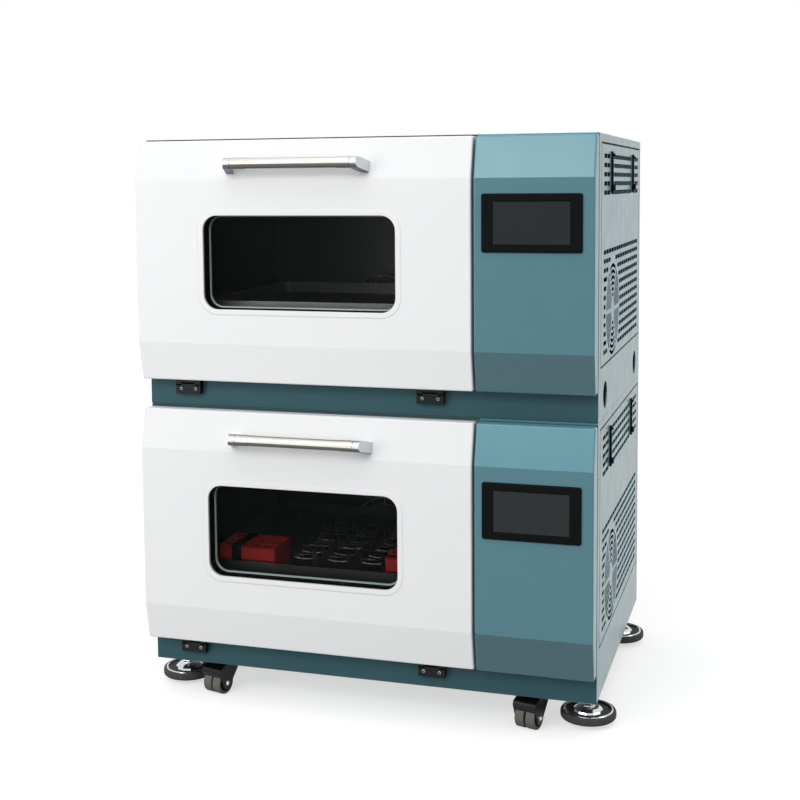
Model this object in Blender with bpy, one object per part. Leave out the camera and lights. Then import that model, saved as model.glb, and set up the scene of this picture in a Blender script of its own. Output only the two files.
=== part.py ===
"""Stacked incubator shaker: two benchtop shaking incubators, one on the other, on castors.

Each unit is a sheet-steel cabinet with a fold-down glazed door on the left and a control
fascia over the service bay on the right. A tray in the chamber is shaken in a circle by a
crank under the chamber floor and steadied by two idler cranks. Sizes are in metres, +Z is up,
-Y is the front, and the origin is on the floor under the middle of the whole machine.
"""
import math

import bmesh
import bpy
from mathutils import Matrix, Vector

# Clearances
SEAT = 0.0003           # gap left between a piece and what it rests on
RUNNING = 0.0003        # gap around a shaft in its bore
PIVOT_SLACK = 0.001     # gap around the idler pins in the tray

# Facets around round pieces
FINE_ROUND = 20
ROUND = 16
SMALL_ROUND = 10

# Rounded edges
FRONT_EDGE = 0.002
CABINET_EDGE = 0.0015
BEZEL_EDGE = 0.001

# How far a cutter runs past the sheet that it opens
CUT_PAST = 0.010

# Cabinet of one unit
CABINET_WIDTH = 0.990
CABINET_DEPTH = 0.700
CABINET_HEIGHT = 0.580
FLOOR_CLEARANCE = 0.076     # from the floor to the underside of the lower unit
CABINET_SHEET = 0.003
SERVICE_BAY_WIDTH = 0.2455  # from the right side to the door's edge
SERVICE_OPENING_EDGE = 0.030    # sheet left beside the service bay's opening behind the fascia
DECK_HEIGHT = 0.118         # underside of the deck that carries the drive

# Front of a unit: a door and a fascia that share one three-facet outline
PLINTH_HEIGHT = 0.061
LOWER_FACET_HEIGHT = 0.083
UPPER_FACET_HEIGHT = 0.084
FRONT_TOP_MARGIN = 0.004
BOTTOM_REACH = 0.038        # how far the front stands before the cabinet at its bottom edge
MIDDLE_REACH = 0.054
TOP_REACH = 0.033
FRONT_SPLIT_GAP = 0.005
SKIN = 0.0025               # pressed skin of the door and the fascia
DOOR_BACK_GAP = 0.010       # from the cabinet's front to the back of the door
PAN_WALL = 0.003

# Window
WINDOW_WIDTH = 0.427
WINDOW_HEIGHT = 0.199
WINDOW_CORNER = 0.031
TRIM_WIDTH = 0.011
TRIM_PROUD = 0.001
PANE_THICKNESS = 0.005
PANE_LAP = 0.010            # how far a pane reaches behind the edge of the window
TUNNEL_WALL = 0.014         # wall of the window's tunnel in the door pan

# Handle
HANDLE_LENGTH = 0.318       # over the feet of the brackets
HANDLE_DIAMETER = 0.024
HANDLE_DROP = 0.050         # from the door's top edge to the bar's centre
HANDLE_REACH = 0.098        # from the cabinet's front to the front of the bar
BRACKET_WIDTH = 0.014       # at the bar
BRACKET_FOOT_WIDTH = 0.018  # at the door
BRACKET_FLARE = 0.014       # how far a bracket's outer face leans out from the bar to the door
SPIGOT_DIAMETER = 0.016
SPIGOT_LENGTH = 0.012
COLLAR_LENGTH = 0.030
COLLAR_STEP = 0.0006

# Door hinges
HINGE_WIDTH = 0.058
HINGE_INSET = 0.097         # from the door's side edge to the middle of a hinge
HINGE_LEAF_BOTTOM = 0.027
HINGE_LEAF_THICKNESS = 0.005
HINGE_FIXED_KNUCKLE = 0.013
HINGE_KNUCKLE_RADIUS = 0.005
HINGE_PIN_RADIUS = 0.0025
HINGE_SWING_GAP = 0.0008    # between the fixed knuckle and the door as it swings
HINGE_END_GAP = 0.0005

# Chamber
CHAMBER_WIDTH = 0.640
CHAMBER_DEPTH = 0.600
CHAMBER_HEIGHT = 0.350
CHAMBER_FLOOR = 0.150
LINER_SHEET = 0.0015
LINER_FLANGE = 0.022
LINER_FLANGE_SHEET = 0.002
SHAFT_HOLE_GAP = 0.003      # around a crank's shaft in the liner's floor
GASKET_WIDTH = 0.014
GASKET_CORNER = 0.018

# Control screen
SCREEN_WIDTH = 0.202
SCREEN_HEIGHT = 0.117
SCREEN_FROM_SIDE = 0.024    # from the unit's right side to the bezel
SCREEN_BELOW_CREASE = 0.031
SCREEN_CORNER = 0.005
SCREEN_PROUD = 0.005
SCREEN_LIP = 0.008          # how far the bezel reaches over its cut-out
SCREEN_BODY_DEPTH = 0.034
SCREEN_GLASS_WIDTH = 0.166
SCREEN_GLASS_HEIGHT = 0.096
SCREEN_GLASS_THICKNESS = 0.002
SCREEN_GLASS_INSET = 0.0005

# Orbital drive
ORBIT_RADIUS = 0.013
CRANK_SHAFT_RADIUS = 0.015
CRANK_FLANGE_RADIUS = 0.036
CRANK_WEIGHT_RADIUS = 0.085
CRANK_WEIGHT_HALF_ANGLE = math.radians(70)
CRANK_FLANGE_LIFT = 0.008   # from the chamber floor to the crank's flange
CRANK_FLANGE_THICKNESS = 0.012
CRANK_PIN_RADIUS = 0.010
MAIN_BOSS_RADIUS = 0.040
MOTOR_RADIUS = 0.070
MOTOR_HEIGHT = 0.062
MOTOR_RIM = 0.006
MOTOR_BORE_END = 0.002      # below the end of the crank's shaft
SHAFT_IN_MOTOR = 0.045
IDLER_SPACING = 0.360       # between the two idler cranks
IDLER_OFFSET_BACK = 0.130   # from the main crank back to the idlers
IDLER_SHAFT_RADIUS = 0.010
IDLER_FLANGE_RADIUS = 0.028
IDLER_FLANGE_THICKNESS = 0.008
IDLER_FLANGE_LIFT = 0.004
IDLER_PIN_RADIUS = 0.007
IDLER_BOSS_RADIUS = 0.026
PIN_END_GAP = 0.004         # from a pin's top to the underside of the tray plate

# Tray
TRAY_MARGIN = 0.014         # clear space that is left around the shaken tray
TRAY_PLATE_HEIGHT = 0.050   # from the chamber floor to the underside of the tray plate
TRAY_PLATE = 0.003
TRAY_LIP_HEIGHT = 0.030
TRAY_LIP = 0.002
TRAY_CORNER = 0.015
TRAY_HUB_RADIUS = 0.030
TRAY_IDLER_HUB_RADIUS = 0.018
TRAY_HUB_LENGTH = 0.022
TRAY_RIB_WIDTH = 0.016
TRAY_RIB_DEPTH = 0.010
TRAY_RIB_INSET = 0.020      # from the tray's sides to the ends of its ribs

# Right side panel and its grille
PANEL_SHEET = 0.002
PANEL_FRONT_MARGIN = 0.030
PANEL_REAR_MARGIN = 0.022
PANEL_BOTTOM = 0.107
PANEL_TOP_DROP = 0.019
PANEL_SEAM = 0.0015
PANEL_LEDGE = 0.012
VENT_HEIGHT = 0.0085
VENT_ROW_PITCH = 0.0187
VENT_LENGTH = 0.290
VENT_WEB = 0.006
VENT_END_MARGIN = 0.030     # from the panel's ends to the vents
LOWER_VENT_ROWS = 12
LOWER_VENT_START = 0.026    # from the panel's bottom edge to the lowest row
UPPER_VENT_ROWS = 5
UPPER_VENT_DROP = 0.026     # from the panel's top edge to the highest row
GRILLE_FROM_FRONT = 0.206
GRILLE_ABOVE_BOTTOM = 0.105
GRILLE_RADIUS = 0.100
GRILLE_HUB_RADIUS = 0.022
GRILLE_RINGS = 4
GRILLE_SECTORS = 6
GRILLE_SPOKE = 0.007
GRILLE_RIB = 0.006
GRILLE_BORDER = 0.010

# Cooling fan behind the grille
FAN_DEPTH = 0.026
FAN_SHROUD_WALL = 0.003
FAN_TIP_GAP = 0.0045
FAN_FACE_GAP = 0.004        # from the panel to the rotor
FAN_HUB_RADIUS = 0.034
FAN_HUB_WALL = 0.004
FAN_SPINDLE_RADIUS = 0.004
FAN_CAP = 0.002             # front wall of the hub over the spindle's end
FAN_BLADES = 7
FAN_BLADE_THICKNESS = 0.0025
FAN_BLADE_PITCH = math.radians(32)  # halfway along a blade
FAN_BLADE_TWIST = 0.25      # share of the pitch gained at the root, and lost at the tip
FAN_BLADE_FILL = 0.8        # share of the rotor's depth that the blades take
FAN_STRUT_WIDTH = 0.008
FAN_STRUT_DEPTH = 0.004
FAN_STRUT_GAP = 0.002       # from the struts to the rotor

# Quarter-turn locks of the side panel
LOCK_FROM_FRONT = 0.173
LOCK_SPACING = 0.363
LOCK_BELOW_TOP = 0.091      # from the panel's top edge to the lock's spindle
LOCK_LEVER_LENGTH = 0.076   # from the spindle to the lever's tip
LOCK_BOSS_RADIUS = 0.013
LOCK_TIP_RADIUS = 0.007
LOCK_LEVER_THICKNESS = 0.008
LOCK_CAP_RADIUS = 0.0104    # raised cap on the boss
LOCK_CAP_THICKNESS = 0.012
LOCK_HORN_REACH = 0.006     # thumb horn near the lever's tip
LOCK_HORN_WIDTH = 0.010
LOCK_SPINDLE_RADIUS = 0.005
LOCK_TONGUE_LENGTH = 0.026
LOCK_TONGUE_WIDTH = 0.012
LOCK_TONGUE_THICKNESS = 0.0025
LOCK_TONGUE_GAP = 0.001

# Base: openings, castors and levelling feet
BASE_OPENING_MARGIN = 0.170
LIFT_HOLE_RADIUS = 0.0285
LIFT_HOLE_HEIGHT = 0.044
LIFT_HOLE_INSET = 0.097
FOOT_INSET_SIDE = 0.031
FOOT_INSET_END = 0.095
FOOT_RAISED = 0.010         # the pads hang this far above the floor
FOOT_PAD_RADIUS = 0.059
FOOT_PAD_THICKNESS = 0.015
FOOT_DOME_RADIUS = 0.030
FOOT_DOME_HEIGHT = 0.032
FOOT_STUD_RADIUS = 0.008
FOOT_STUD_REACH = 0.060     # how far the stud reaches up into the base
FOOT_BOSS_RADIUS = 0.018
FOOT_BOSS_HEIGHT = 0.030
CASTOR_INSET_SIDE = 0.140
CASTOR_INSET_END = 0.048
CASTOR_TURN = math.radians(-15)
CASTOR_TRAIL = 0.020
WHEEL_RADIUS = 0.025
WHEEL_WIDTH = 0.0205
WHEEL_SPACE = 0.004         # between the two wheels of a castor
WHEEL_SIDE_GAP = 0.0006
WHEEL_TREAD_GAP = 0.002
WHEEL_HUB_RADIUS = 0.009
AXLE_RADIUS = 0.004
FORK_CHEEK = 0.003
FORK_CROWN = 0.008          # thickness of the hood over the wheels
FORK_BOSS_RADIUS = 0.014
CASTOR_RACE_RADIUS = 0.024
CASTOR_STEM_RADIUS = 0.006
CASTOR_STEM_LENGTH = 0.028
CASTOR_BOSS_RADIUS = 0.013
CASTOR_RACE = 0.006         # height of the swivel race over the hood
WHEEL_EDGE = 0.0015

# Back of a unit
BACK_VENT_ROWS = 9
BACK_VENT_LENGTH = 0.150
BACK_VENT_ABOVE_DECK = 0.100    # from the deck to the lowest slot of the back
INLET_WIDTH = 0.048
INLET_HEIGHT = 0.027
INLET_CORNER = 0.004
INLET_BELOW_VENTS = 0.050

# Places worked out from the sizes above, in a unit's own frame: x from the middle, y back
# from the cabinet's front, z up from its underside
HALF_WIDTH = CABINET_WIDTH / 2
FRONT_TOP = CABINET_HEIGHT - FRONT_TOP_MARGIN
UPPER_CREASE = FRONT_TOP - UPPER_FACET_HEIGHT
LOWER_CREASE = PLINTH_HEIGHT + LOWER_FACET_HEIGHT
FRONT_SPLIT = HALF_WIDTH - SERVICE_BAY_WIDTH
DOOR_LEFT = -HALF_WIDTH
DOOR_RIGHT = FRONT_SPLIT - FRONT_SPLIT_GAP / 2
DOOR_MIDDLE = (DOOR_LEFT + DOOR_RIGHT) / 2
FASCIA_LEFT = FRONT_SPLIT + FRONT_SPLIT_GAP / 2
WINDOW_Z = (LOWER_CREASE + UPPER_CREASE) / 2
DOOR_BACK = -DOOR_BACK_GAP
HINGE_AXIS_Y = DOOR_BACK - 0.001
HINGE_AXIS_Z = PLINTH_HEIGHT - HINGE_KNUCKLE_RADIUS - HINGE_SWING_GAP
HANDLE_Z = FRONT_TOP - HANDLE_DROP
HANDLE_Y = HANDLE_DIAMETER / 2 - HANDLE_REACH
FACET_LEAN = math.atan2(MIDDLE_REACH - TOP_REACH, UPPER_FACET_HEIGHT)
CHAMBER_TOP = CHAMBER_FLOOR + CHAMBER_HEIGHT
CRANK_X = DOOR_MIDDLE
CRANK_Y = CHAMBER_DEPTH / 2
CRANK_FLANGE_Z = CHAMBER_FLOOR + CRANK_FLANGE_LIFT
TRAY_Z = CHAMBER_FLOOR + TRAY_PLATE_HEIGHT
TRAY_WIDTH = CHAMBER_WIDTH - 2 * (ORBIT_RADIUS + TRAY_MARGIN)
TRAY_DEPTH = CHAMBER_DEPTH - 2 * (ORBIT_RADIUS + TRAY_MARGIN)
PIN_TOP = TRAY_Z - PIN_END_GAP
PANEL_TOP = CABINET_HEIGHT - PANEL_TOP_DROP
PANEL_REAR = CABINET_DEPTH - PANEL_REAR_MARGIN
PANEL_FACE = HALF_WIDTH - PANEL_SHEET
GRILLE_Y = GRILLE_FROM_FRONT
GRILLE_Z = PANEL_BOTTOM + GRILLE_ABOVE_BOTTOM
LOCK_Z = PANEL_TOP - LOCK_BELOW_TOP
MACHINE_FRONT = (HANDLE_REACH - CABINET_DEPTH) / 2


def linear(value):
    """One sRGB channel from 0 to 1 as a linear value."""
    if value <= 0.04045:
        return value / 12.92
    return ((value + 0.055) / 1.055) ** 2.4


def material(name, colour, roughness, metallic=0.0, alpha=1.0):
    """A Principled material from an sRGB colour such as 54808C."""
    made = bpy.data.materials.new(name)
    made.use_nodes = True
    shader = made.node_tree.nodes["Principled BSDF"]
    channels = [linear(int(colour[at:at + 2], 16) / 255) for at in (0, 2, 4)]
    shader.inputs["Base Color"].default_value = (*channels, 1.0)
    shader.inputs["Roughness"].default_value = roughness
    shader.inputs["Metallic"].default_value = metallic
    shader.inputs["Alpha"].default_value = alpha
    return made


# Outlines and solids


def circle(radius, centre=(0.0, 0.0), segments=ROUND):
    """Points around a circle."""
    return [(centre[0] + radius * math.cos(2 * math.pi * step / segments),
             centre[1] + radius * math.sin(2 * math.pi * step / segments))
            for step in range(segments)]


def arc(radius, start, end, steps, centre=(0.0, 0.0)):
    """Points along an arc, with both ends."""
    angles = [start + (end - start) * step / steps for step in range(steps + 1)]
    return [(centre[0] + radius * math.cos(angle), centre[1] + radius * math.sin(angle)) for angle in angles]


def rectangle(width, height, centre=(0.0, 0.0)):
    """Corners of a rectangle."""
    across, up = width / 2, height / 2
    return [(centre[0] + a, centre[1] + b)
            for a, b in ((-across, -up), (across, -up), (across, up), (-across, up))]


def rounded_rectangle(width, height, radius, centre=(0.0, 0.0), steps=4):
    """Outline of a rectangle with round corners."""
    across, up = width / 2 - radius, height / 2 - radius
    points = []
    for quarter, (a, b) in enumerate(((across, up), (-across, up), (-across, -up), (across, -up))):
        start = quarter * math.pi / 2
        points += arc(radius, start, start + math.pi / 2, steps, (centre[0] + a, centre[1] + b))
    return points


def along(axis, a, b, distance):
    """A point from two coordinates in a plane and the distance along its normal."""
    return {"X": (distance, a, b), "Y": (a, distance, b), "Z": (a, b, distance)}[axis]


def prism(outline, axis, start, end):
    """An outline extruded along an axis: (y, z) for X, (x, z) for Y and (x, y) for Z."""
    bm = bmesh.new()
    face = bm.faces.new([bm.verts.new(along(axis, a, b, start)) for a, b in outline])
    grown = bmesh.ops.extrude_face_region(bm, geom=[face])
    far = [item for item in grown["geom"] if isinstance(item, bmesh.types.BMVert)]
    bmesh.ops.translate(bm, vec=along(axis, 0.0, 0.0, end - start), verts=far)
    return bm


def box(low, high):
    """A box between two corners."""
    middle = ((low[0] + high[0]) / 2, (low[1] + high[1]) / 2)
    return prism(rectangle(high[0] - low[0], high[1] - low[1], middle), "Z", low[2], high[2])


def cylinder(radius, axis, start, end, centre=(0.0, 0.0), segments=ROUND):
    """A round bar along an axis."""
    return prism(circle(radius, centre, segments), axis, start, end)


def clear_radius(shaft_radius, segments, gap=RUNNING):
    """Corner radius of a faceted hole whose flats clear a round shaft by a gap."""
    return (shaft_radius + gap) / math.cos(math.pi / segments)


def bore(shaft_radius, axis, start, end, centre=(0.0, 0.0), segments=ROUND, gap=RUNNING):
    """A cutter for the hole that a shaft turns in."""
    return cylinder(clear_radius(shaft_radius, segments, gap), axis, start, end, centre, segments)


def turned(profile, axis="Z", centre=(0.0, 0.0), segments=ROUND, closed=False):
    """A profile of (radius, distance) points turned about a line along an axis."""
    bm = bmesh.new()
    rings = []
    for radius, distance in profile:
        if radius < 1e-6:
            rings.append([bm.verts.new(along(axis, centre[0], centre[1], distance))] * segments)
        else:
            rings.append([bm.verts.new(along(axis, a, b, distance))
                          for a, b in circle(radius, centre, segments)])
    pairs = list(zip(rings, rings[1:]))
    if closed:
        pairs.append((rings[-1], rings[0]))
    for near, far in pairs:
        for step in range(segments):
            after = (step + 1) % segments
            corners = [near[step], near[after], far[after], far[step]]
            bm.faces.new(list(dict.fromkeys(corners)))
    return bm


def frame_ring(outer, inner, axis, start, end):
    """A flat ring between two outlines with as many points each."""
    bm = bmesh.new()
    loops = [[bm.verts.new(along(axis, a, b, distance)) for a, b in outline]
             for outline, distance in ((outer, start), (outer, end), (inner, end), (inner, start))]
    for near, far in zip(loops, loops[1:] + loops[:1]):
        for step in range(len(near)):
            after = (step + 1) % len(near)
            bm.faces.new((near[step], near[after], far[after], far[step]))
    return bm


def group(solids):
    """Several solids that don't touch, as one mesh."""
    bm = bmesh.new()
    for solid in solids:
        mesh = bpy.data.meshes.new("group")
        solid.to_mesh(mesh)
        solid.free()
        bm.from_mesh(mesh)
        bpy.data.meshes.remove(mesh)
    return bm


# Objects


def empty(name, place, parent=None, turn=0.0):
    """An empty that carries pieces: a unit, or the axis of a moving piece."""
    made = bpy.data.objects.new(name, None)
    made.location = place
    made.rotation_euler[2] = turn
    made.parent = parent
    made.empty_display_size = 0.05
    bpy.context.collection.objects.link(made)
    return made


def plain_object(name, solid, carrier, own_frame):
    """An object from a solid that is given in its unit's frame, or in its carrier's own frame."""
    if carrier.parent and not own_frame:
        bmesh.ops.translate(solid, vec=-carrier.location, verts=solid.verts)
    bmesh.ops.recalc_face_normals(solid, faces=solid.faces)
    mesh = bpy.data.meshes.new(name)
    solid.to_mesh(mesh)
    solid.free()
    made = bpy.data.objects.new(name, mesh)
    made.parent = carrier
    bpy.context.collection.objects.link(made)
    return made


def piece(name, solid, finish, carrier, steps=(), smooth=None, bevel=0.0, own_frame=False):
    """One piece: a solid, with others joined to it or cut from it in turn, or kept where both are."""
    made = plain_object(name, solid, carrier, own_frame)
    made.data.materials.append(finish)
    if smooth is not None:
        made.data.shade_smooth()
        made.data.set_sharp_from_angle(angle=smooth)
    if bevel > 0.0:
        edge = made.modifiers.new("edges", "BEVEL")
        edge.width = bevel
        edge.segments = 1
        edge.limit_method = "ANGLE"
        edge.angle_limit = math.radians(40)
    for number, (action, other) in enumerate(steps):
        tool = plain_object(f"{name}_{action}_{number}", other, carrier, own_frame)
        tool.hide_render = True
        tool.display_type = "WIRE"
        change = made.modifiers.new(f"{action}_{number}", "BOOLEAN")
        change.operation = {"cut": "DIFFERENCE", "join": "UNION", "keep": "INTERSECT"}[action]
        change.solver = "EXACT"
        change.object = tool
    return made


# Front of a unit


def front_reach(z):
    """How far the front stands before the cabinet at a height."""
    if z <= LOWER_CREASE:
        share = (z - PLINTH_HEIGHT) / LOWER_FACET_HEIGHT
        return BOTTOM_REACH + share * (MIDDLE_REACH - BOTTOM_REACH)
    if z <= UPPER_CREASE:
        return MIDDLE_REACH
    share = (z - UPPER_CREASE) / UPPER_FACET_HEIGHT
    return MIDDLE_REACH + share * (TOP_REACH - MIDDLE_REACH)


def front_outline(inset, back):
    """The (y, z) outline of the front, moved in by inset, with its back at y = back."""
    low, high = PLINTH_HEIGHT + inset, FRONT_TOP - inset
    heights = (low, LOWER_CREASE, UPPER_CREASE, high)
    return [(back, low)] + [(inset - front_reach(z), z) for z in heights] + [(back, high)]


def window_outline(grow):
    """The window's (x, z) outline, made larger by grow on every side."""
    return rounded_rectangle(WINDOW_WIDTH + 2 * grow, WINDOW_HEIGHT + 2 * grow, WINDOW_CORNER + grow,
                             (DOOR_MIDDLE, WINDOW_Z))


def hinge_places():
    """The x of the middle of each hinge."""
    return {"left": DOOR_LEFT + HINGE_INSET, "right": DOOR_RIGHT - HINGE_INSET}


def door_knuckle(x):
    """The door's half of a hinge: a knuckle under the door's bottom edge."""
    half = HINGE_WIDTH / 2 - HINGE_FIXED_KNUCKLE - HINGE_END_GAP
    neck = PLINTH_HEIGHT + SKIN / 2
    turn = arc(HINGE_KNUCKLE_RADIUS, math.pi, 2 * math.pi, 6, (HINGE_AXIS_Y, HINGE_AXIS_Z))
    outline = turn + [(HINGE_AXIS_Y + HINGE_KNUCKLE_RADIUS, HINGE_AXIS_Z + 0.001), (DOOR_BACK, neck),
                      (HINGE_AXIS_Y - HINGE_KNUCKLE_RADIUS, neck)]
    return prism(outline, "X", x - half, x + half)


def hinge_bores():
    """The holes for the hinge pins in the door's knuckles."""
    return group([bore(HINGE_PIN_RADIUS, "X", x - HINGE_WIDTH / 2, x + HINGE_WIDTH / 2,
                       (HINGE_AXIS_Y, HINGE_AXIS_Z), SMALL_ROUND) for x in hinge_places().values()])


def build_door_shell(prefix, finish, door):
    """The pressed outer skin, with the window's raised trim and the hinge knuckles."""
    outer = prism(front_outline(0.0, DOOR_BACK), "X", DOOR_LEFT, DOOR_RIGHT)
    hollow = prism(front_outline(SKIN, 0.0), "X", DOOR_LEFT + SKIN, DOOR_RIGHT - SKIN)
    trim = prism(window_outline(TRIM_WIDTH), "Y", -MIDDLE_REACH - TRIM_PROUD, SKIN / 2 - MIDDLE_REACH)
    opening = prism(window_outline(0.0), "Y", -2 * MIDDLE_REACH, 0.0)
    knuckles = group([door_knuckle(x) for x in hinge_places().values()])
    piece(f"{prefix}_door_shell", outer, finish, door, bevel=FRONT_EDGE, steps=[
        ("cut", hollow), ("join", trim), ("cut", opening), ("join", knuckles),
        ("cut", hinge_bores())])


def build_door_pan(prefix, finish, door):
    """The inner pan behind the skin, with the window's tunnel and the seat of the inner pane."""
    inset = SKIN + SEAT
    block = prism(front_outline(inset, DOOR_BACK), "X", DOOR_LEFT + inset, DOOR_RIGHT - inset)
    wall = inset + PAN_WALL
    hollow = box((DOOR_LEFT + wall, -2 * MIDDLE_REACH, PLINTH_HEIGHT + wall),
                 (DOOR_RIGHT - wall, DOOR_BACK - PAN_WALL, FRONT_TOP - wall))
    seat = inset - MIDDLE_REACH + PANE_THICKNESS + SEAT
    tunnel = prism(window_outline(TUNNEL_WALL), "Y", seat, DOOR_BACK - PAN_WALL / 2)
    opening = prism(window_outline(0.001), "Y", -2 * MIDDLE_REACH, 0.0)
    recess = prism(window_outline(PANE_LAP + SEAT), "Y", DOOR_BACK - PANE_THICKNESS - SEAT, 0.0)
    piece(f"{prefix}_door_pan", block, finish, door, steps=[
        ("cut", hollow), ("join", tunnel), ("cut", opening), ("cut", recess)])


def build_panes(prefix, finish, door):
    """The outer pane behind the skin and the inner pane in the back of the pan."""
    front = SKIN + SEAT - MIDDLE_REACH
    piece(f"{prefix}_window_pane", prism(window_outline(PANE_LAP), "Y", front, front + PANE_THICKNESS),
          finish, door)
    piece(f"{prefix}_inner_pane", prism(window_outline(PANE_LAP), "Y", DOOR_BACK - PANE_THICKNESS, DOOR_BACK),
          finish, door)


def build_gasket(prefix, finish, door):
    """The seal on the back of the door that meets the liner's flange."""
    middle = (DOOR_MIDDLE, CHAMBER_FLOOR + CHAMBER_HEIGHT / 2)
    inner = (LINER_FLANGE - GASKET_WIDTH) / 2
    outer = inner + GASKET_WIDTH
    rings = [rounded_rectangle(CHAMBER_WIDTH + 2 * grow, CHAMBER_HEIGHT + 2 * grow, GASKET_CORNER + grow,
                               middle) for grow in (outer, inner)]
    front = -SEAT - LINER_FLANGE_SHEET - SEAT
    piece(f"{prefix}_door_gasket", frame_ring(*rings, "Y", DOOR_BACK + SEAT, front), finish, door)


def build_handle(prefix, bar_finish, bracket_finish, door):
    """A round bar with stepped collars, its spigots held in a flared bracket at each end."""
    radius = HANDLE_DIAMETER / 2
    slim = radius - COLLAR_STEP
    spigot = SPIGOT_DIAMETER / 2
    end = HANDLE_LENGTH / 2 - BRACKET_FLARE - BRACKET_WIDTH - SEAT
    collar = end - COLLAR_LENGTH
    half = [(0.0, end + SPIGOT_LENGTH), (spigot, end + SPIGOT_LENGTH), (spigot, end), (radius, end),
            (radius, collar), (slim, collar - COLLAR_STEP)]
    profile = [(r, DOOR_MIDDLE - x) for r, x in half] + [(r, DOOR_MIDDLE + x) for r, x in reversed(half)]
    piece(f"{prefix}_handle_bar", turned(profile, "X", (HANDLE_Y, HANDLE_Z)), bar_finish, door,
          smooth=math.radians(35))
    for side, outward in (("left", -1), ("right", 1)):
        pocket = sorted(DOOR_MIDDLE + outward * x for x in (0.0, end + SPIGOT_LENGTH + SEAT))
        piece(f"{prefix}_handle_post_{side}", bracket_plan(outward), bracket_finish, door,
              steps=[("keep", bracket_side()), ("cut", bore(spigot, "X", *pocket, (HANDLE_Y, HANDLE_Z)))])


def handle_to_facet():
    """The distance from the bar's centre square to the door's sloping facet."""
    return (-HANDLE_Y - front_reach(HANDLE_Z)) * math.cos(FACET_LEAN) - SEAT


def lean_to_facet(solid):
    """Turns a solid about the bar's centre, so that its -Y to +Y way runs square to the facet."""
    centre = Vector((0.0, HANDLE_Y, HANDLE_Z))
    bmesh.ops.rotate(solid, cent=centre, matrix=Matrix.Rotation(-FACET_LEAN, 3, "X"), verts=solid.verts)
    return solid


def bracket_plan(outward):
    """A bracket seen from above: an upright inner cheek at the bar, and a foot that flares outward."""
    radius = HANDLE_DIAMETER / 2
    foot = HANDLE_Y + handle_to_facet()
    half = HANDLE_LENGTH / 2
    inner = half - BRACKET_FLARE - BRACKET_WIDTH
    plan = [(half - BRACKET_FLARE, HANDLE_Y - 2 * radius), (half - BRACKET_FLARE, HANDLE_Y - radius),
            (half, foot), (half - BRACKET_FOOT_WIDTH, foot), (inner, HANDLE_Y + radius),
            (inner, HANDLE_Y - 2 * radius)]
    outline = [(DOOR_MIDDLE + outward * x, y) for x, y in plan]
    return lean_to_facet(prism(outline, "Z", HANDLE_Z - 2 * radius, HANDLE_Z + 2 * radius))


def bracket_side():
    """A bracket seen from the side: round in front of the bar, and straight from there to the facet."""
    radius = HANDLE_DIAMETER / 2
    foot = HANDLE_Y + handle_to_facet()
    outline = arc(radius, math.pi / 2, 3 * math.pi / 2, ROUND // 2, (HANDLE_Y, HANDLE_Z))
    outline += [(2 * foot - HANDLE_Y, HANDLE_Z - radius), (2 * foot - HANDLE_Y, HANDLE_Z + radius)]
    return lean_to_facet(prism(outline, "X", DOOR_MIDDLE - HANDLE_LENGTH, DOOR_MIDDLE + HANDLE_LENGTH))


def build_hinges(prefix, finish, unit):
    """The fixed halves of the hinges: a leaf on the plinth, two knuckles and the pin."""
    for side, x in hinge_places().items():
        half = HINGE_WIDTH / 2
        leaf = box((x - half, -HINGE_LEAF_THICKNESS, HINGE_LEAF_BOTTOM),
                   (x + half, -SEAT, HINGE_AXIS_Z - HINGE_KNUCKLE_RADIUS - HINGE_SWING_GAP))
        front = HINGE_AXIS_Y - HINGE_KNUCKLE_RADIUS
        below = HINGE_AXIS_Z - 2 * HINGE_KNUCKLE_RADIUS
        round_end = arc(HINGE_KNUCKLE_RADIUS, math.pi, 0.0, 6, (HINGE_AXIS_Y, HINGE_AXIS_Z))
        cheek = [(-SEAT, below)] + [(front, below)] + round_end + [(-SEAT, HINGE_AXIS_Z)]
        cheeks = [prism(cheek, "X", start, start + HINGE_FIXED_KNUCKLE)
                  for start in (x - half, x + half - HINGE_FIXED_KNUCKLE)]
        pin = cylinder(HINGE_PIN_RADIUS, "X", x - half + 0.001, x + half - 0.001, (HINGE_AXIS_Y, HINGE_AXIS_Z),
                       SMALL_ROUND)
        piece(f"{prefix}_hinge_{side}", leaf, finish, unit, steps=[("join", group(cheeks)), ("join", pin)])


def build_fascia(prefix, finish, unit):
    """The control fascia over the service bay, open at the back, with the screen's cut-out."""
    outer = prism(front_outline(0.0, -SEAT), "X", FASCIA_LEFT, HALF_WIDTH)
    hollow = prism(front_outline(SKIN, CUT_PAST), "X", FASCIA_LEFT + SKIN, HALF_WIDTH - SKIN)
    width, height = SCREEN_WIDTH - 2 * SCREEN_LIP, SCREEN_HEIGHT - 2 * SCREEN_LIP
    opening = prism(rectangle(width, height, screen_middle()), "Y", -2 * MIDDLE_REACH,
                    SKIN - MIDDLE_REACH + CUT_PAST)
    piece(f"{prefix}_control_fascia", outer, finish, unit, bevel=FRONT_EDGE,
          steps=[("cut", hollow), ("cut", opening)])


def screen_middle():
    """The (x, z) middle of the control screen."""
    return (HALF_WIDTH - SCREEN_FROM_SIDE - SCREEN_WIDTH / 2,
            UPPER_CREASE - SCREEN_BELOW_CREASE - SCREEN_HEIGHT / 2)


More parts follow.
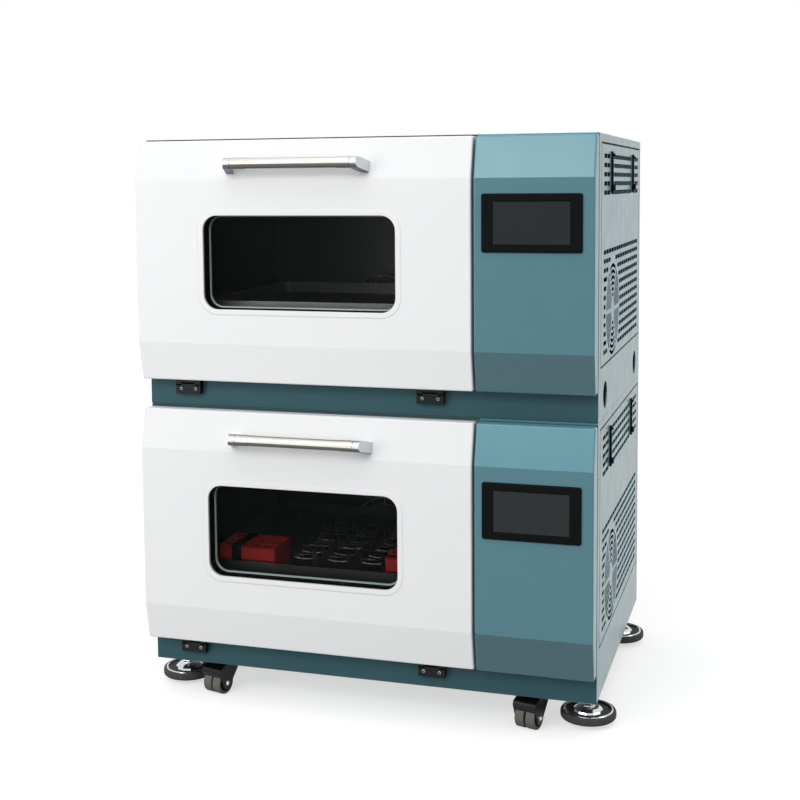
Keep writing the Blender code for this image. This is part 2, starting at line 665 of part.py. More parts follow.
def build_screen(prefix, bezel_finish, glass_finish, unit):
    """The touch screen: a bezel with its body behind the fascia, and the glass in its recess."""
    middle = screen_middle()
    face = -MIDDLE_REACH - SEAT
    bezel = prism(rounded_rectangle(SCREEN_WIDTH, SCREEN_HEIGHT, SCREEN_CORNER, middle, 3), "Y",
                  face - SCREEN_PROUD, face)
    width, height = SCREEN_WIDTH - 2 * SCREEN_LIP - 2 * SEAT, SCREEN_HEIGHT - 2 * SCREEN_LIP - 2 * SEAT
    body = prism(rectangle(width, height, middle), "Y", face - SCREEN_PROUD / 2, face + SCREEN_BODY_DEPTH)
    glass_front = face - SCREEN_PROUD + SCREEN_GLASS_INSET
    recess = prism(rectangle(SCREEN_GLASS_WIDTH + 2 * SEAT, SCREEN_GLASS_HEIGHT + 2 * SEAT, middle), "Y",
                   face - 2 * SCREEN_PROUD, glass_front + SCREEN_GLASS_THICKNESS + SEAT)
    piece(f"{prefix}_screen_bezel", bezel, bezel_finish, unit, bevel=BEZEL_EDGE,
          steps=[("join", body), ("cut", recess)])
    glass = prism(rectangle(SCREEN_GLASS_WIDTH, SCREEN_GLASS_HEIGHT, middle), "Y", glass_front,
                  glass_front + SCREEN_GLASS_THICKNESS)
    piece(f"{prefix}_screen_glass", glass, glass_finish, unit)


# Cabinet and chamber


def idler_places():
    """The (x, y) of each idler crank's axis."""
    return {"left": (CRANK_X - IDLER_SPACING / 2, CRANK_Y + IDLER_OFFSET_BACK),
            "right": (CRANK_X + IDLER_SPACING / 2, CRANK_Y + IDLER_OFFSET_BACK)}


def cabinet_rooms():
    """The hollows of the cabinet: the chamber's room, the service bay and the drive bay."""
    sheet = CABINET_SHEET
    deck_top = DECK_HEIGHT + sheet
    top = CABINET_HEIGHT - SEAT - sheet
    back = CABINET_DEPTH - sheet
    return [box((sheet - HALF_WIDTH, sheet, deck_top), (FRONT_SPLIT - sheet / 2, back, top)),
            box((FRONT_SPLIT + sheet / 2, sheet, sheet), (HALF_WIDTH - sheet, back, top)),
            box((sheet - HALF_WIDTH, sheet, sheet), (FRONT_SPLIT - sheet / 2, back, DECK_HEIGHT))]


def cabinet_openings():
    """The ways through the cabinet's walls: chamber, fascia, side panel and underside."""
    fit = LINER_SHEET + SEAT
    half = CHAMBER_WIDTH / 2 + fit
    front = 2 * CABINET_SHEET
    ledge = PANEL_LEDGE
    margin = BASE_OPENING_MARGIN
    service = ((FASCIA_LEFT + HALF_WIDTH) / 2, (LOWER_CREASE + UPPER_CREASE) / 2)
    service_size = (SERVICE_BAY_WIDTH - 2 * SERVICE_OPENING_EDGE, UPPER_CREASE - LOWER_CREASE)
    return [box((CRANK_X - half, -front, CHAMBER_FLOOR - fit), (CRANK_X + half, front, CHAMBER_TOP + fit)),
            prism(rectangle(*service_size, service), "Y", -front, front),
            box((HALF_WIDTH - CUT_PAST, PANEL_FRONT_MARGIN + ledge, PANEL_BOTTOM + ledge),
                (HALF_WIDTH + CUT_PAST, PANEL_REAR - ledge, PANEL_TOP - ledge)),
            box((margin - HALF_WIDTH, margin, -CUT_PAST),
                (HALF_WIDTH - margin, CABINET_DEPTH - margin, CUT_PAST))]


def fan_opening():
    """Room for the fan's shroud in the ledge behind the side panel."""
    return cylinder(GRILLE_RADIUS + FAN_SHROUD_WALL + PANEL_SEAM, "X", HALF_WIDTH - CUT_PAST,
                    HALF_WIDTH + CUT_PAST, (GRILLE_Y, GRILLE_Z), FINE_ROUND)


def panel_rebate():
    """The shallow rebate in the right side that the side panel lies in."""
    seam = PANEL_SEAM
    return box((PANEL_FACE - SEAT, PANEL_FRONT_MARGIN - seam, PANEL_BOTTOM - seam),
               (HALF_WIDTH + CUT_PAST, PANEL_REAR + seam, PANEL_TOP + seam))


def drive_bosses():
    """Bearing housings on the deck, which also carry the liner's floor."""
    top = CHAMBER_FLOOR - LINER_SHEET - SEAT
    low = DECK_HEIGHT + CABINET_SHEET / 2
    main = cylinder(MAIN_BOSS_RADIUS, "Z", low, top, (CRANK_X, CRANK_Y), FINE_ROUND)
    return group([main] + [cylinder(IDLER_BOSS_RADIUS, "Z", low, top, place)
                           for place in idler_places().values()])


def drive_bores():
    """The bores of the bearing housings."""
    low = DECK_HEIGHT - CUT_PAST
    main = bore(CRANK_SHAFT_RADIUS, "Z", low, CHAMBER_FLOOR, (CRANK_X, CRANK_Y), FINE_ROUND)
    return group([main] + [bore(IDLER_SHAFT_RADIUS, "Z", low, CHAMBER_FLOOR, place)
                           for place in idler_places().values()])


def corner_places(inset_side, inset_end):
    """The (x, y) of four points near the corners of the base."""
    side = HALF_WIDTH - inset_side
    back = CABINET_DEPTH - inset_end
    return {"front_left": (-side, inset_end), "front_right": (side, inset_end),
            "rear_left": (-side, back), "rear_right": (side, back)}


def base_bosses():
    """Threaded bosses for the feet and sockets for the castors' stems."""
    feet = [cylinder(FOOT_BOSS_RADIUS, "Z", CABINET_SHEET / 2, FOOT_BOSS_HEIGHT, place, SMALL_ROUND)
            for place in corner_places(FOOT_INSET_SIDE, FOOT_INSET_END).values()]
    castors = [cylinder(CASTOR_BOSS_RADIUS, "Z", CABINET_SHEET / 2, CASTOR_STEM_LENGTH, place, SMALL_ROUND)
               for place in corner_places(CASTOR_INSET_SIDE, CASTOR_INSET_END).values()]
    return group(feet + castors)


def base_bores():
    """The holes for the feet's studs and the castors' stems."""
    feet = [bore(FOOT_STUD_RADIUS, "Z", -CUT_PAST, FOOT_BOSS_HEIGHT + CUT_PAST, place, SMALL_ROUND)
            for place in corner_places(FOOT_INSET_SIDE, FOOT_INSET_END).values()]
    castors = [bore(CASTOR_STEM_RADIUS, "Z", -CUT_PAST, CASTOR_STEM_LENGTH + CUT_PAST, place, SMALL_ROUND)
               for place in corner_places(CASTOR_INSET_SIDE, CASTOR_INSET_END).values()]
    return group(feet + castors)


def lift_holes():
    """Round holes for lifting bars in both sides of the base."""
    holes = []
    for side in (-HALF_WIDTH, HALF_WIDTH):
        for y in (LIFT_HOLE_INSET, CABINET_DEPTH - LIFT_HOLE_INSET):
            holes.append(cylinder(LIFT_HOLE_RADIUS, "X", side - CUT_PAST, side + CUT_PAST,
                                  (y, LIFT_HOLE_HEIGHT)))
    return group(holes)


def back_vents():
    """Rows of slots and the mains inlet's opening in the back of the service bay."""
    middle = (FRONT_SPLIT + HALF_WIDTH) / 2
    low = DECK_HEIGHT + CABINET_SHEET + BACK_VENT_ABOVE_DECK
    through = (CABINET_DEPTH - CUT_PAST, CABINET_DEPTH + CUT_PAST)
    slots = [prism(rectangle(BACK_VENT_LENGTH, VENT_HEIGHT, (middle, low + row * VENT_ROW_PITCH)), "Y", *through)
             for row in range(BACK_VENT_ROWS)]
    inlet = prism(rounded_rectangle(INLET_WIDTH, INLET_HEIGHT, INLET_CORNER,
                                    (middle, low - INLET_BELOW_VENTS), 2), "Y", *through)
    return group(slots + [inlet])


def build_cabinet(prefix, finish, unit, is_base):
    """The sheet-steel cabinet with its deck, divider, bosses and openings."""
    outer = box((-HALF_WIDTH, 0.0, 0.0), (HALF_WIDTH, CABINET_DEPTH, CABINET_HEIGHT - SEAT))
    steps = [("cut", room) for room in cabinet_rooms()]
    steps += [("cut", panel_rebate()), ("cut", group(cabinet_openings())), ("cut", fan_opening()),
              ("join", drive_bosses()), ("cut", drive_bores()), ("cut", back_vents())]
    if is_base:
        steps += [("join", base_bosses()), ("cut", base_bores())]
    else:
        steps += [("cut", lift_holes())]
    piece(f"{prefix}_cabinet", outer, finish, unit, bevel=CABINET_EDGE, steps=steps)


def build_liner(prefix, finish, unit):
    """The stainless chamber: a box open at the front, with a flange and holes over the bearings."""
    half = CHAMBER_WIDTH / 2
    sheet = LINER_SHEET
    outer = box((CRANK_X - half - sheet, -SEAT - LINER_FLANGE_SHEET, CHAMBER_FLOOR - sheet),
                (CRANK_X + half + sheet, CHAMBER_DEPTH + sheet, CHAMBER_TOP + sheet))
    middle = (CRANK_X, CHAMBER_FLOOR + CHAMBER_HEIGHT / 2)
    flange = prism(rectangle(CHAMBER_WIDTH + 2 * LINER_FLANGE, CHAMBER_HEIGHT + 2 * LINER_FLANGE, middle),
                   "Y", -SEAT - LINER_FLANGE_SHEET, -SEAT)
    room = box((CRANK_X - half, -CUT_PAST, CHAMBER_FLOOR), (CRANK_X + half, CHAMBER_DEPTH, CHAMBER_TOP))
    holes = group([cylinder(radius + SHAFT_HOLE_GAP, "Z", CHAMBER_FLOOR - CUT_PAST, CHAMBER_FLOOR + CUT_PAST, place)
                   for radius, place in [(CRANK_SHAFT_RADIUS, (CRANK_X, CRANK_Y))]
                   + [(IDLER_SHAFT_RADIUS, place) for place in idler_places().values()]])
    piece(f"{prefix}_chamber_liner", outer, finish, unit,
          steps=[("join", flange), ("cut", room), ("cut", holes)])


# Right side panel, fan and locks


def row_slots(z, start, end, gaps):
    """One row of vent slots from start to end along y, left out across each gap."""
    edges = [start]
    for low, high in gaps:
        edges += [low, high]
    edges.append(end)
    slots = []
    for low, high in zip(edges[::2], edges[1::2]):
        count = max(1, round((high - low + VENT_WEB) / (VENT_LENGTH + VENT_WEB)))
        length = (high - low + VENT_WEB) / count - VENT_WEB
        if length > VENT_HEIGHT:
            slots += [(low + number * (length + VENT_WEB), length, z) for number in range(count)]
    return slots


def vent_slots():
    """Every vent slot of the side panel, as (start y, length, z)."""
    start, end = PANEL_FRONT_MARGIN + VENT_END_MARGIN, PANEL_REAR - VENT_END_MARGIN
    clear = GRILLE_RADIUS + GRILLE_BORDER
    slots = []
    for row in range(LOWER_VENT_ROWS):
        z = PANEL_BOTTOM + LOWER_VENT_START + row * VENT_ROW_PITCH
        off = abs(z - GRILLE_Z) - VENT_HEIGHT / 2
        half = math.sqrt(max(0.0, clear ** 2 - max(0.0, off) ** 2)) if off < clear else 0.0
        gaps = [(GRILLE_Y - half, GRILLE_Y + half)] if half > 0.0 else []
        slots += row_slots(z, start, end, gaps)
    side = LOCK_BOSS_RADIUS + VENT_WEB
    locks = [(y - side, y + side) for y in lock_places().values()]
    for row in range(UPPER_VENT_ROWS):
        z = PANEL_TOP - UPPER_VENT_DROP - row * VENT_ROW_PITCH
        slots += row_slots(z, start, end, locks)
    return slots


def grille_slots():
    """The round grille: rings of arc slots in sectors, with ribs and spokes between them."""
    pitch = (GRILLE_RADIUS - GRILLE_HUB_RADIUS) / GRILLE_RINGS
    slots = []
    for ring in range(GRILLE_RINGS):
        inner = GRILLE_HUB_RADIUS + ring * pitch + GRILLE_RIB / 2
        outer = inner + pitch - GRILLE_RIB
        for sector in range(GRILLE_SECTORS):
            start = 2 * math.pi * sector / GRILLE_SECTORS
            end = start + 2 * math.pi / GRILLE_SECTORS
            near, far = GRILLE_SPOKE / 2 / inner, GRILLE_SPOKE / 2 / outer
            outline = arc(outer, start + far, end - far, 2, (GRILLE_Y, GRILLE_Z))
            outline += arc(inner, end - near, start + near, 2, (GRILLE_Y, GRILLE_Z))
            slots.append(outline)
    return slots


def lock_places():
    """The y of each panel lock's spindle."""
    return {"front": LOCK_FROM_FRONT, "rear": LOCK_FROM_FRONT + LOCK_SPACING}


def fan_frame():
    """The fan's shroud, struts and spindle on the back of the panel, to be joined in turn."""
    centre = (GRILLE_Y, GRILLE_Z)
    deep = PANEL_FACE - FAN_DEPTH
    inner = GRILLE_RADIUS
    outer = inner + FAN_SHROUD_WALL
    shroud = frame_ring(circle(outer, centre, FINE_ROUND), circle(inner, centre, FINE_ROUND), "X", deep,
                        HALF_WIDTH - PANEL_SHEET / 2)
    back = deep + FAN_STRUT_DEPTH
    half = FAN_STRUT_WIDTH / 2
    reach = inner + FAN_SHROUD_WALL / 2
    across = prism(rectangle(2 * reach, 2 * half, centre), "X", deep, back)
    upright = prism(rectangle(2 * half, 2 * reach, centre), "X", deep, back)
    motor = cylinder(FAN_HUB_RADIUS - FAN_HUB_WALL, "X", deep, back + 0.001, centre)
    spindle = cylinder(FAN_SPINDLE_RADIUS, "X", deep + 0.001, PANEL_FACE - FAN_FACE_GAP - FAN_CAP, centre,
                       SMALL_ROUND)
    return [shroud, across, upright, motor, spindle]


def build_side_panel(prefix, finish, unit):
    """The removable right side panel with vent rows, the round grille and the fan's frame."""
    plate = box((PANEL_FACE, PANEL_FRONT_MARGIN, PANEL_BOTTOM), (HALF_WIDTH, PANEL_REAR, PANEL_TOP))
    low, high = PANEL_FACE - CUT_PAST, HALF_WIDTH + CUT_PAST
    vents = group([box((low, y, z - VENT_HEIGHT / 2), (high, y + length, z + VENT_HEIGHT / 2))
                   for y, length, z in vent_slots()])
    rings = group([prism(outline, "X", low, high) for outline in grille_slots()])
    spindles = group([bore(LOCK_SPINDLE_RADIUS, "X", low, high, (y, LOCK_Z), SMALL_ROUND)
                      for y in lock_places().values()])
    steps = [("cut", vents), ("cut", spindles), ("cut", rings)]
    steps += [("join", solid) for solid in fan_frame()]
    piece(f"{prefix}_side_panel", plate, finish, unit, steps=steps)


def fan_blade(number):
    """One blade of the rotor, a plate set at a pitch, from the hub to the tip."""
    depth = FAN_DEPTH - FAN_STRUT_DEPTH - 2 * FAN_FACE_GAP
    reach = depth / math.sin(FAN_BLADE_PITCH) * FAN_BLADE_FILL / 2
    tip = GRILLE_RADIUS - FAN_TIP_GAP
    root = FAN_HUB_RADIUS - FAN_HUB_WALL / 2
    thick = FAN_BLADE_THICKNESS / 2
    twist_at = {root: 1.0 + FAN_BLADE_TWIST, (root + tip) / 2: 1.0, tip: 1.0 - FAN_BLADE_TWIST}
    bm = bmesh.new()
    rings = []
    for radius, twist in twist_at.items():
        pitch = FAN_BLADE_PITCH * twist
        ring = []
        for across, side in ((-reach, -thick), (reach, -thick), (reach, thick), (-reach, thick)):
            axial = across * math.sin(pitch) + side * math.cos(pitch)
            sideways = across * math.cos(pitch) - side * math.sin(pitch)
            along_radius = math.sqrt(max(radius ** 2 - sideways ** 2, 0.0))
            ring.append(bm.verts.new((axial, sideways, along_radius)))
        rings.append(ring)
    for near, far in zip(rings, rings[1:]):
        for step in range(4):
            after = (step + 1) % 4
            bm.faces.new((near[step], near[after], far[after], far[step]))
    bm.faces.new(rings[0])
    bm.faces.new(rings[-1])
    turn = 2 * math.pi * number / FAN_BLADES
    for vertex in bm.verts:
        x, y, z = vertex.co
        vertex.co = (x, y * math.cos(turn) - z * math.sin(turn), y * math.sin(turn) + z * math.cos(turn))
    return bm


def build_fan(prefix, finish, unit):
    """The cooling fan's rotor: a hub on the spindle with pitched blades."""
    front = PANEL_FACE - FAN_FACE_GAP
    back = PANEL_FACE - FAN_DEPTH + FAN_STRUT_DEPTH + FAN_STRUT_GAP
    axis = empty(f"{prefix}_fan_axis", (0.0, GRILLE_Y, GRILLE_Z), unit)
    hub = cylinder(FAN_HUB_RADIUS, "X", back, front, (GRILLE_Y, GRILLE_Z))
    blades = group([fan_blade(number) for number in range(FAN_BLADES)])
    bmesh.ops.translate(blades, vec=((front + back) / 2, GRILLE_Y, GRILLE_Z), verts=blades.verts)
    hole = bore(FAN_SPINDLE_RADIUS, "X", back - 0.01, front - 0.001, (GRILLE_Y, GRILLE_Z), SMALL_ROUND)
    piece(f"{prefix}_cooling_fan_rotor", hub, finish, axis, steps=[("join", blades), ("cut", hole)])


def lever_outline(y):
    """The (y, z) outline of a lock's lever: a round boss, a tapering arm and a thumb horn at its tip."""
    tip_z = LOCK_Z + LOCK_LEVER_LENGTH - LOCK_TIP_RADIUS
    boss = arc(LOCK_BOSS_RADIUS, math.radians(135), math.radians(405), 7, (y, LOCK_Z))
    tip = arc(LOCK_TIP_RADIUS, 0.0, math.pi, 4, (y, tip_z))
    horn_y = y + LOCK_TIP_RADIUS + LOCK_HORN_REACH
    horn = [(y + LOCK_TIP_RADIUS, tip_z - LOCK_HORN_WIDTH - LOCK_HORN_REACH / 2),
            (horn_y, tip_z - LOCK_HORN_WIDTH / 2), (horn_y, tip_z)]
    return boss + horn + tip


def build_locks(prefix, finish, unit):
    """Two quarter-turn lever locks, each with a spindle through the panel and a tongue behind it."""
    for side, y in lock_places().items():
        axis = empty(f"{prefix}_lock_{side}_axis", (HALF_WIDTH, y, LOCK_Z), unit)
        face = HALF_WIDTH + SEAT
        lever = prism(lever_outline(y), "X", face, face + LOCK_LEVER_THICKNESS)
        middle = (y, LOCK_Z)
        cap = cylinder(LOCK_CAP_RADIUS, "X", face + 0.001, face + LOCK_CAP_THICKNESS, middle, SMALL_ROUND)
        back = PANEL_FACE - LOCK_TONGUE_GAP
        deep = back - LOCK_TONGUE_THICKNESS
        spindle = cylinder(LOCK_SPINDLE_RADIUS, "X", deep, face + 0.001, middle, SMALL_ROUND)
        end = LOCK_Z + LOCK_TONGUE_LENGTH
        tongue = box((deep, y - LOCK_TONGUE_WIDTH / 2, LOCK_Z - LOCK_TONGUE_WIDTH / 2),
                     (back, y + LOCK_TONGUE_WIDTH / 2, end))
        piece(f"{prefix}_panel_lock_{side}", lever, finish, axis,
              steps=[("join", cap), ("join", spindle), ("join", tongue)])


# Orbital drive


def build_motor(prefix, finish, unit):
    """The flat drive motor under the deck, with a hollow shaft for the crank."""
    top = DECK_HEIGHT - SEAT
    low = top - MOTOR_HEIGHT
    body, rim = MOTOR_RADIUS, MOTOR_RIM
    profile = [(0.0, low), (body - rim, low), (body, low + rim), (body, top - 2 * rim), (body + rim, top - rim),
               (body + rim, top), (0.0, top)]
    hole = bore(CRANK_SHAFT_RADIUS, "Z", top - SHAFT_IN_MOTOR - MOTOR_BORE_END, top + CUT_PAST,
                (CRANK_X, CRANK_Y), FINE_ROUND)
    piece(f"{prefix}_drive_motor", turned(profile, "Z", (CRANK_X, CRANK_Y), FINE_ROUND), finish, unit,
          steps=[("cut", hole)], smooth=math.radians(35))


def build_crank(prefix, finish, unit):
    """The main crank: a shaft, a counterweighted flange and the eccentric pin."""
    axis = empty(f"{prefix}_crank_axis", (CRANK_X, CRANK_Y, CRANK_FLANGE_Z), unit)
    centre = (CRANK_X, CRANK_Y)
    top = CRANK_FLANGE_Z + CRANK_FLANGE_THICKNESS
    flange = cylinder(CRANK_FLANGE_RADIUS, "Z", CRANK_FLANGE_Z, top, centre, FINE_ROUND)
    spread = CRANK_WEIGHT_HALF_ANGLE
    sector = [centre] + arc(CRANK_WEIGHT_RADIUS, math.pi - spread, math.pi + spread, 8, centre)
    weight = prism(sector, "Z", CRANK_FLANGE_Z + 0.0005, top - 0.0005)
    shaft = cylinder(CRANK_SHAFT_RADIUS, "Z", DECK_HEIGHT - SEAT - SHAFT_IN_MOTOR, CRANK_FLANGE_Z + 0.001,
                     centre, FINE_ROUND)
    pin = cylinder(CRANK_PIN_RADIUS, "Z", top - 0.001, PIN_TOP, (CRANK_X + ORBIT_RADIUS, CRANK_Y))
    piece(f"{prefix}_main_crank", flange, finish, axis,
          steps=[("join", weight), ("join", shaft), ("join", pin)])


def build_idlers(prefix, finish, unit):
    """Two idler cranks that keep the tray from turning."""
    for side, centre in idler_places().items():
        low = CHAMBER_FLOOR + IDLER_FLANGE_LIFT
        axis = empty(f"{prefix}_idler_{side}_axis", (*centre, low), unit)
        top = low + IDLER_FLANGE_THICKNESS
        flange = cylinder(IDLER_FLANGE_RADIUS, "Z", low, top, centre)
        shaft = cylinder(IDLER_SHAFT_RADIUS, "Z", DECK_HEIGHT + 0.001, low + 0.001, centre, SMALL_ROUND)
        pin = cylinder(IDLER_PIN_RADIUS, "Z", top - 0.001, PIN_TOP, (centre[0] + ORBIT_RADIUS, centre[1]),
                       SMALL_ROUND)
        piece(f"{prefix}_idler_crank_{side}", flange, finish, axis, steps=[("join", shaft), ("join", pin)])


def build_tray(prefix, finish, unit):
    """The shaking tray: a lipped plate with ribs, the hub of the main pin and two idler hubs."""
    middle = (CRANK_X + ORBIT_RADIUS, CRANK_Y)
    axis = empty(f"{prefix}_tray_axis", (*middle, TRAY_Z), unit)
    top = TRAY_Z + TRAY_LIP_HEIGHT
    outer = prism(rounded_rectangle(TRAY_WIDTH, TRAY_DEPTH, TRAY_CORNER, middle, 3), "Z", TRAY_Z, top)
    hollow = prism(rounded_rectangle(TRAY_WIDTH - 2 * TRAY_LIP, TRAY_DEPTH - 2 * TRAY_LIP,
                                     TRAY_CORNER - TRAY_LIP, middle, 3), "Z", TRAY_Z + TRAY_PLATE,
                   top + CUT_PAST)
    inside = TRAY_Z + TRAY_PLATE / 2
    low = TRAY_Z - TRAY_HUB_LENGTH
    rib_low = TRAY_Z - TRAY_RIB_DEPTH
    rib_reach = TRAY_WIDTH / 2 - TRAY_RIB_INSET
    ribs = [box((middle[0] - rib_reach, y - TRAY_RIB_WIDTH / 2, rib_low),
                (middle[0] + rib_reach, y + TRAY_RIB_WIDTH / 2, inside))
            for y in (middle[1] - TRAY_DEPTH / 4, middle[1] + IDLER_OFFSET_BACK)]
    idlers = [(x + ORBIT_RADIUS, y) for x, y in idler_places().values()]
    hubs = [cylinder(TRAY_HUB_RADIUS, "Z", low, inside, middle)]
    idler_hubs = [cylinder(TRAY_IDLER_HUB_RADIUS, "Z", low, inside, place, SMALL_ROUND) for place in idlers]
    bore_top = PIN_TOP + PIN_END_GAP / 2
    bores = [bore(CRANK_PIN_RADIUS, "Z", low - CUT_PAST, bore_top, middle)]
    bores += [bore(IDLER_PIN_RADIUS, "Z", low - CUT_PAST, bore_top, place, SMALL_ROUND, PIVOT_SLACK)
              for place in idlers]
    piece(f"{prefix}_shaking_tray", outer, finish, axis, steps=[
        ("cut", hollow), ("join", group(ribs)), ("join", group(hubs + idler_hubs)), ("cut", group(bores))])


# Base


def build_foot(name, place, finish, unit):
    """A levelling foot: a wide pad, a domed nut and a threaded stud in the base."""
    low = FOOT_RAISED - FLOOR_CLEARANCE
    axis = empty(f"{name}_axis", (*place, low), unit)
    pad, thick = FOOT_PAD_RADIUS, FOOT_PAD_THICKNESS
    dome, stud = FOOT_DOME_RADIUS, FOOT_STUD_RADIUS
    profile = [(0.0, low), (pad * 0.93, low), (pad, low + thick * 0.25), (pad, low + thick * 0.75),
               (pad * 0.95, low + thick), (dome, low + thick * 0.7), (dome * 0.9, low + thick + 0.006),
               (stud * 1.6, low + FOOT_DOME_HEIGHT),
               (stud, low + FOOT_DOME_HEIGHT), (stud, FOOT_STUD_REACH), (0.0, FOOT_STUD_REACH)]
    piece(name, turned(profile, "Z", place), finish, axis, smooth=math.radians(35))


def fork_outline():
    """The (y, z) outline of a castor fork: a hood that narrows to the axle's boss."""
    top = FLOOR_CLEARANCE - CASTOR_RACE
    boss = arc(FORK_BOSS_RADIUS, math.radians(200), math.radians(340), 6, (-CASTOR_TRAIL, WHEEL_RADIUS))
    reach = WHEEL_RADIUS + FORK_CHEEK
    return boss + [(CASTOR_RACE_RADIUS, top - FORK_CROWN), (CASTOR_RACE_RADIUS, top),
                   (-CASTOR_TRAIL - reach * 0.45, top), (-CASTOR_TRAIL - reach * 0.96, top - FORK_CROWN)]


def build_castor(name, place, fork_finish, wheel_finish, unit):
    """A swivel castor: a hooded fork on a stem, and two wheels on its axle."""
    carrier = empty(f"{name}_swivel_axis", (*place, -FLOOR_CLEARANCE), unit, CASTOR_TURN)
    pair = WHEEL_WIDTH + WHEEL_SPACE / 2
    inner = pair + WHEEL_SIDE_GAP
    outer = inner + FORK_CHEEK
    top = FLOOR_CLEARANCE - CASTOR_RACE
    axle = (-CASTOR_TRAIL, WHEEL_RADIUS)
    body = prism(fork_outline(), "X", -outer, outer)
    wheel_room = cylinder(WHEEL_RADIUS + WHEEL_TREAD_GAP, "X", -inner, inner, axle)
    wide = 2 * WHEEL_RADIUS
    below = box((-inner, -CASTOR_TRAIL - wide, -CUT_PAST), (inner, -CASTOR_TRAIL + wide, WHEEL_RADIUS))
    race = cylinder(CASTOR_RACE_RADIUS, "Z", top - 0.001, FLOOR_CLEARANCE - SEAT, (0.0, 0.0))
    stem = cylinder(CASTOR_STEM_RADIUS, "Z", top, FLOOR_CLEARANCE + CASTOR_STEM_LENGTH, (0.0, 0.0),
                    SMALL_ROUND)
    pin = cylinder(AXLE_RADIUS, "X", -outer - 0.001, outer + 0.001, axle, SMALL_ROUND)
    piece(f"{name}_fork", body, fork_finish, carrier, own_frame=True, steps=[
        ("cut", wheel_room), ("cut", below), ("join", race), ("join", stem), ("join", pin)])
    spin = empty(f"{name}_wheel_axis", (0.0, -CASTOR_TRAIL, WHEEL_RADIUS), carrier)
    hole, hub, tread = clear_radius(AXLE_RADIUS, ROUND), WHEEL_HUB_RADIUS, WHEEL_RADIUS
    gap, edge = WHEEL_SPACE / 2, WHEEL_EDGE
    profile = [(hole, -pair), (tread - edge, -pair), (tread, edge - pair), (tread, -gap), (hub, -gap),
               (hub, gap), (tread, gap), (tread, pair - edge), (tread - edge, pair), (hole, pair)]
    piece(f"{name}_wheels", turned(profile, "X", (0.0, 0.0), closed=True), wheel_finish, spin,
          own_frame=True, smooth=math.radians(35))


def build_base(unit, steel, black, tread):
    """Four castors and four levelling feet under the lower unit."""
    for corner, place in corner_places(CASTOR_INSET_SIDE, CASTOR_INSET_END).items():
        build_castor(f"castor_{corner}", place, black, tread, unit)
    for corner, place in corner_places(FOOT_INSET_SIDE, FOOT_INSET_END).items():
        build_foot(f"foot_{corner}", place, steel, unit)


def build_unit(prefix, level, paints):
    """One incubator shaker at a level of the stack."""
    place = (0.0, MACHINE_FRONT, FLOOR_CLEARANCE + level * CABINET_HEIGHT)
    unit = empty(f"{prefix}_unit", place)
    door = empty(f"{prefix}_door_axis", (0.0, HINGE_AXIS_Y, HINGE_AXIS_Z), unit)
    build_cabinet(prefix, paints["teal"], unit, level == 0)
    build_liner(prefix, paints["stainless"], unit)
    build_side_panel(prefix, paints["teal"], unit)
    build_fascia(prefix, paints["teal"], unit)
    build_screen(prefix, paints["black"], paints["screen"], unit)
    build_door_shell(prefix, paints["white"], door)
    build_door_pan(prefix, paints["white"], door)
    build_panes(prefix, paints["glass"], door)
    build_gasket(prefix, paints["rubber"], door)
    build_handle(prefix, paints["stainless"], paints["nickel"], door)
    build_hinges(prefix, paints["black"], unit)
    build_motor(prefix, paints["nickel"], unit)
    build_crank(prefix, paints["nickel"], unit)
    build_idlers(prefix, paints["nickel"], unit)
    build_tray(prefix, paints["stainless"], unit)
    build_fan(prefix, paints["black"], unit)
    build_locks(prefix, paints["black"], unit)
    return unit


def main():
    """Clears the scene and builds the machine."""
    for old in list(bpy.data.objects):
        bpy.data.objects.remove(old, do_unlink=True)
    paints = {
        "teal": material("teal powder coat", "54808C", 0.45),
        "white": material("white powder coat", "F2F4F5", 0.4),
        "black": material("black moulded plastic", "17181A", 0.5),
        "screen": material("screen glass", "2A2C2F", 0.1),
        "glass": material("window glass", "C9D8D6", 0.03, alpha=0.3),
        "rubber": material("black rubber", "1B1B1C", 0.8),
        "stainless": material("stainless steel", "B9BCBD", 0.3, metallic=1.0),
        "nickel": material("nickel casting", "A6A8A9", 0.35, metallic=1.0),
        "tread": material("grey tread rubber", "4A4744", 0.75),
    }
    lower = build_unit("lower", 0, paints)
    build_unit("upper", 1, paints)
    build_base(lower, paints["nickel"], paints["black"], paints["tread"])


main()
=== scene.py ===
"""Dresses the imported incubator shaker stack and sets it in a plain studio."""

import math

import bmesh
import bpy
from bpy.props import FloatProperty, FloatVectorProperty, IntProperty, PointerProperty
from mathutils import Matrix, Vector


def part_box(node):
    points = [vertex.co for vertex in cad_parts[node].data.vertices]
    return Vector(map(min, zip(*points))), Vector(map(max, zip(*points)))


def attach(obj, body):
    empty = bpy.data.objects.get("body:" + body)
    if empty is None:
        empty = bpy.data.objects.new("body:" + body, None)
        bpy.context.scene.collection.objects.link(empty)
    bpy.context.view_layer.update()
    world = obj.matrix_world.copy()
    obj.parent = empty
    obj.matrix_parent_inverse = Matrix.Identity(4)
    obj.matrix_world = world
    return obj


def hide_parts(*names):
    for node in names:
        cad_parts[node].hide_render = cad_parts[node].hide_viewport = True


bl_info = {
    "name": "Stacked incubator shaker",
    "version": (1, 0, 0),
    "blender": (4, 5, 0),
    "location": "View3D > Sidebar > Shaker",
    "description": "Builds the visible surfaces of a stacked incubator shaker around its packed solids",
    "category": "Object",
}

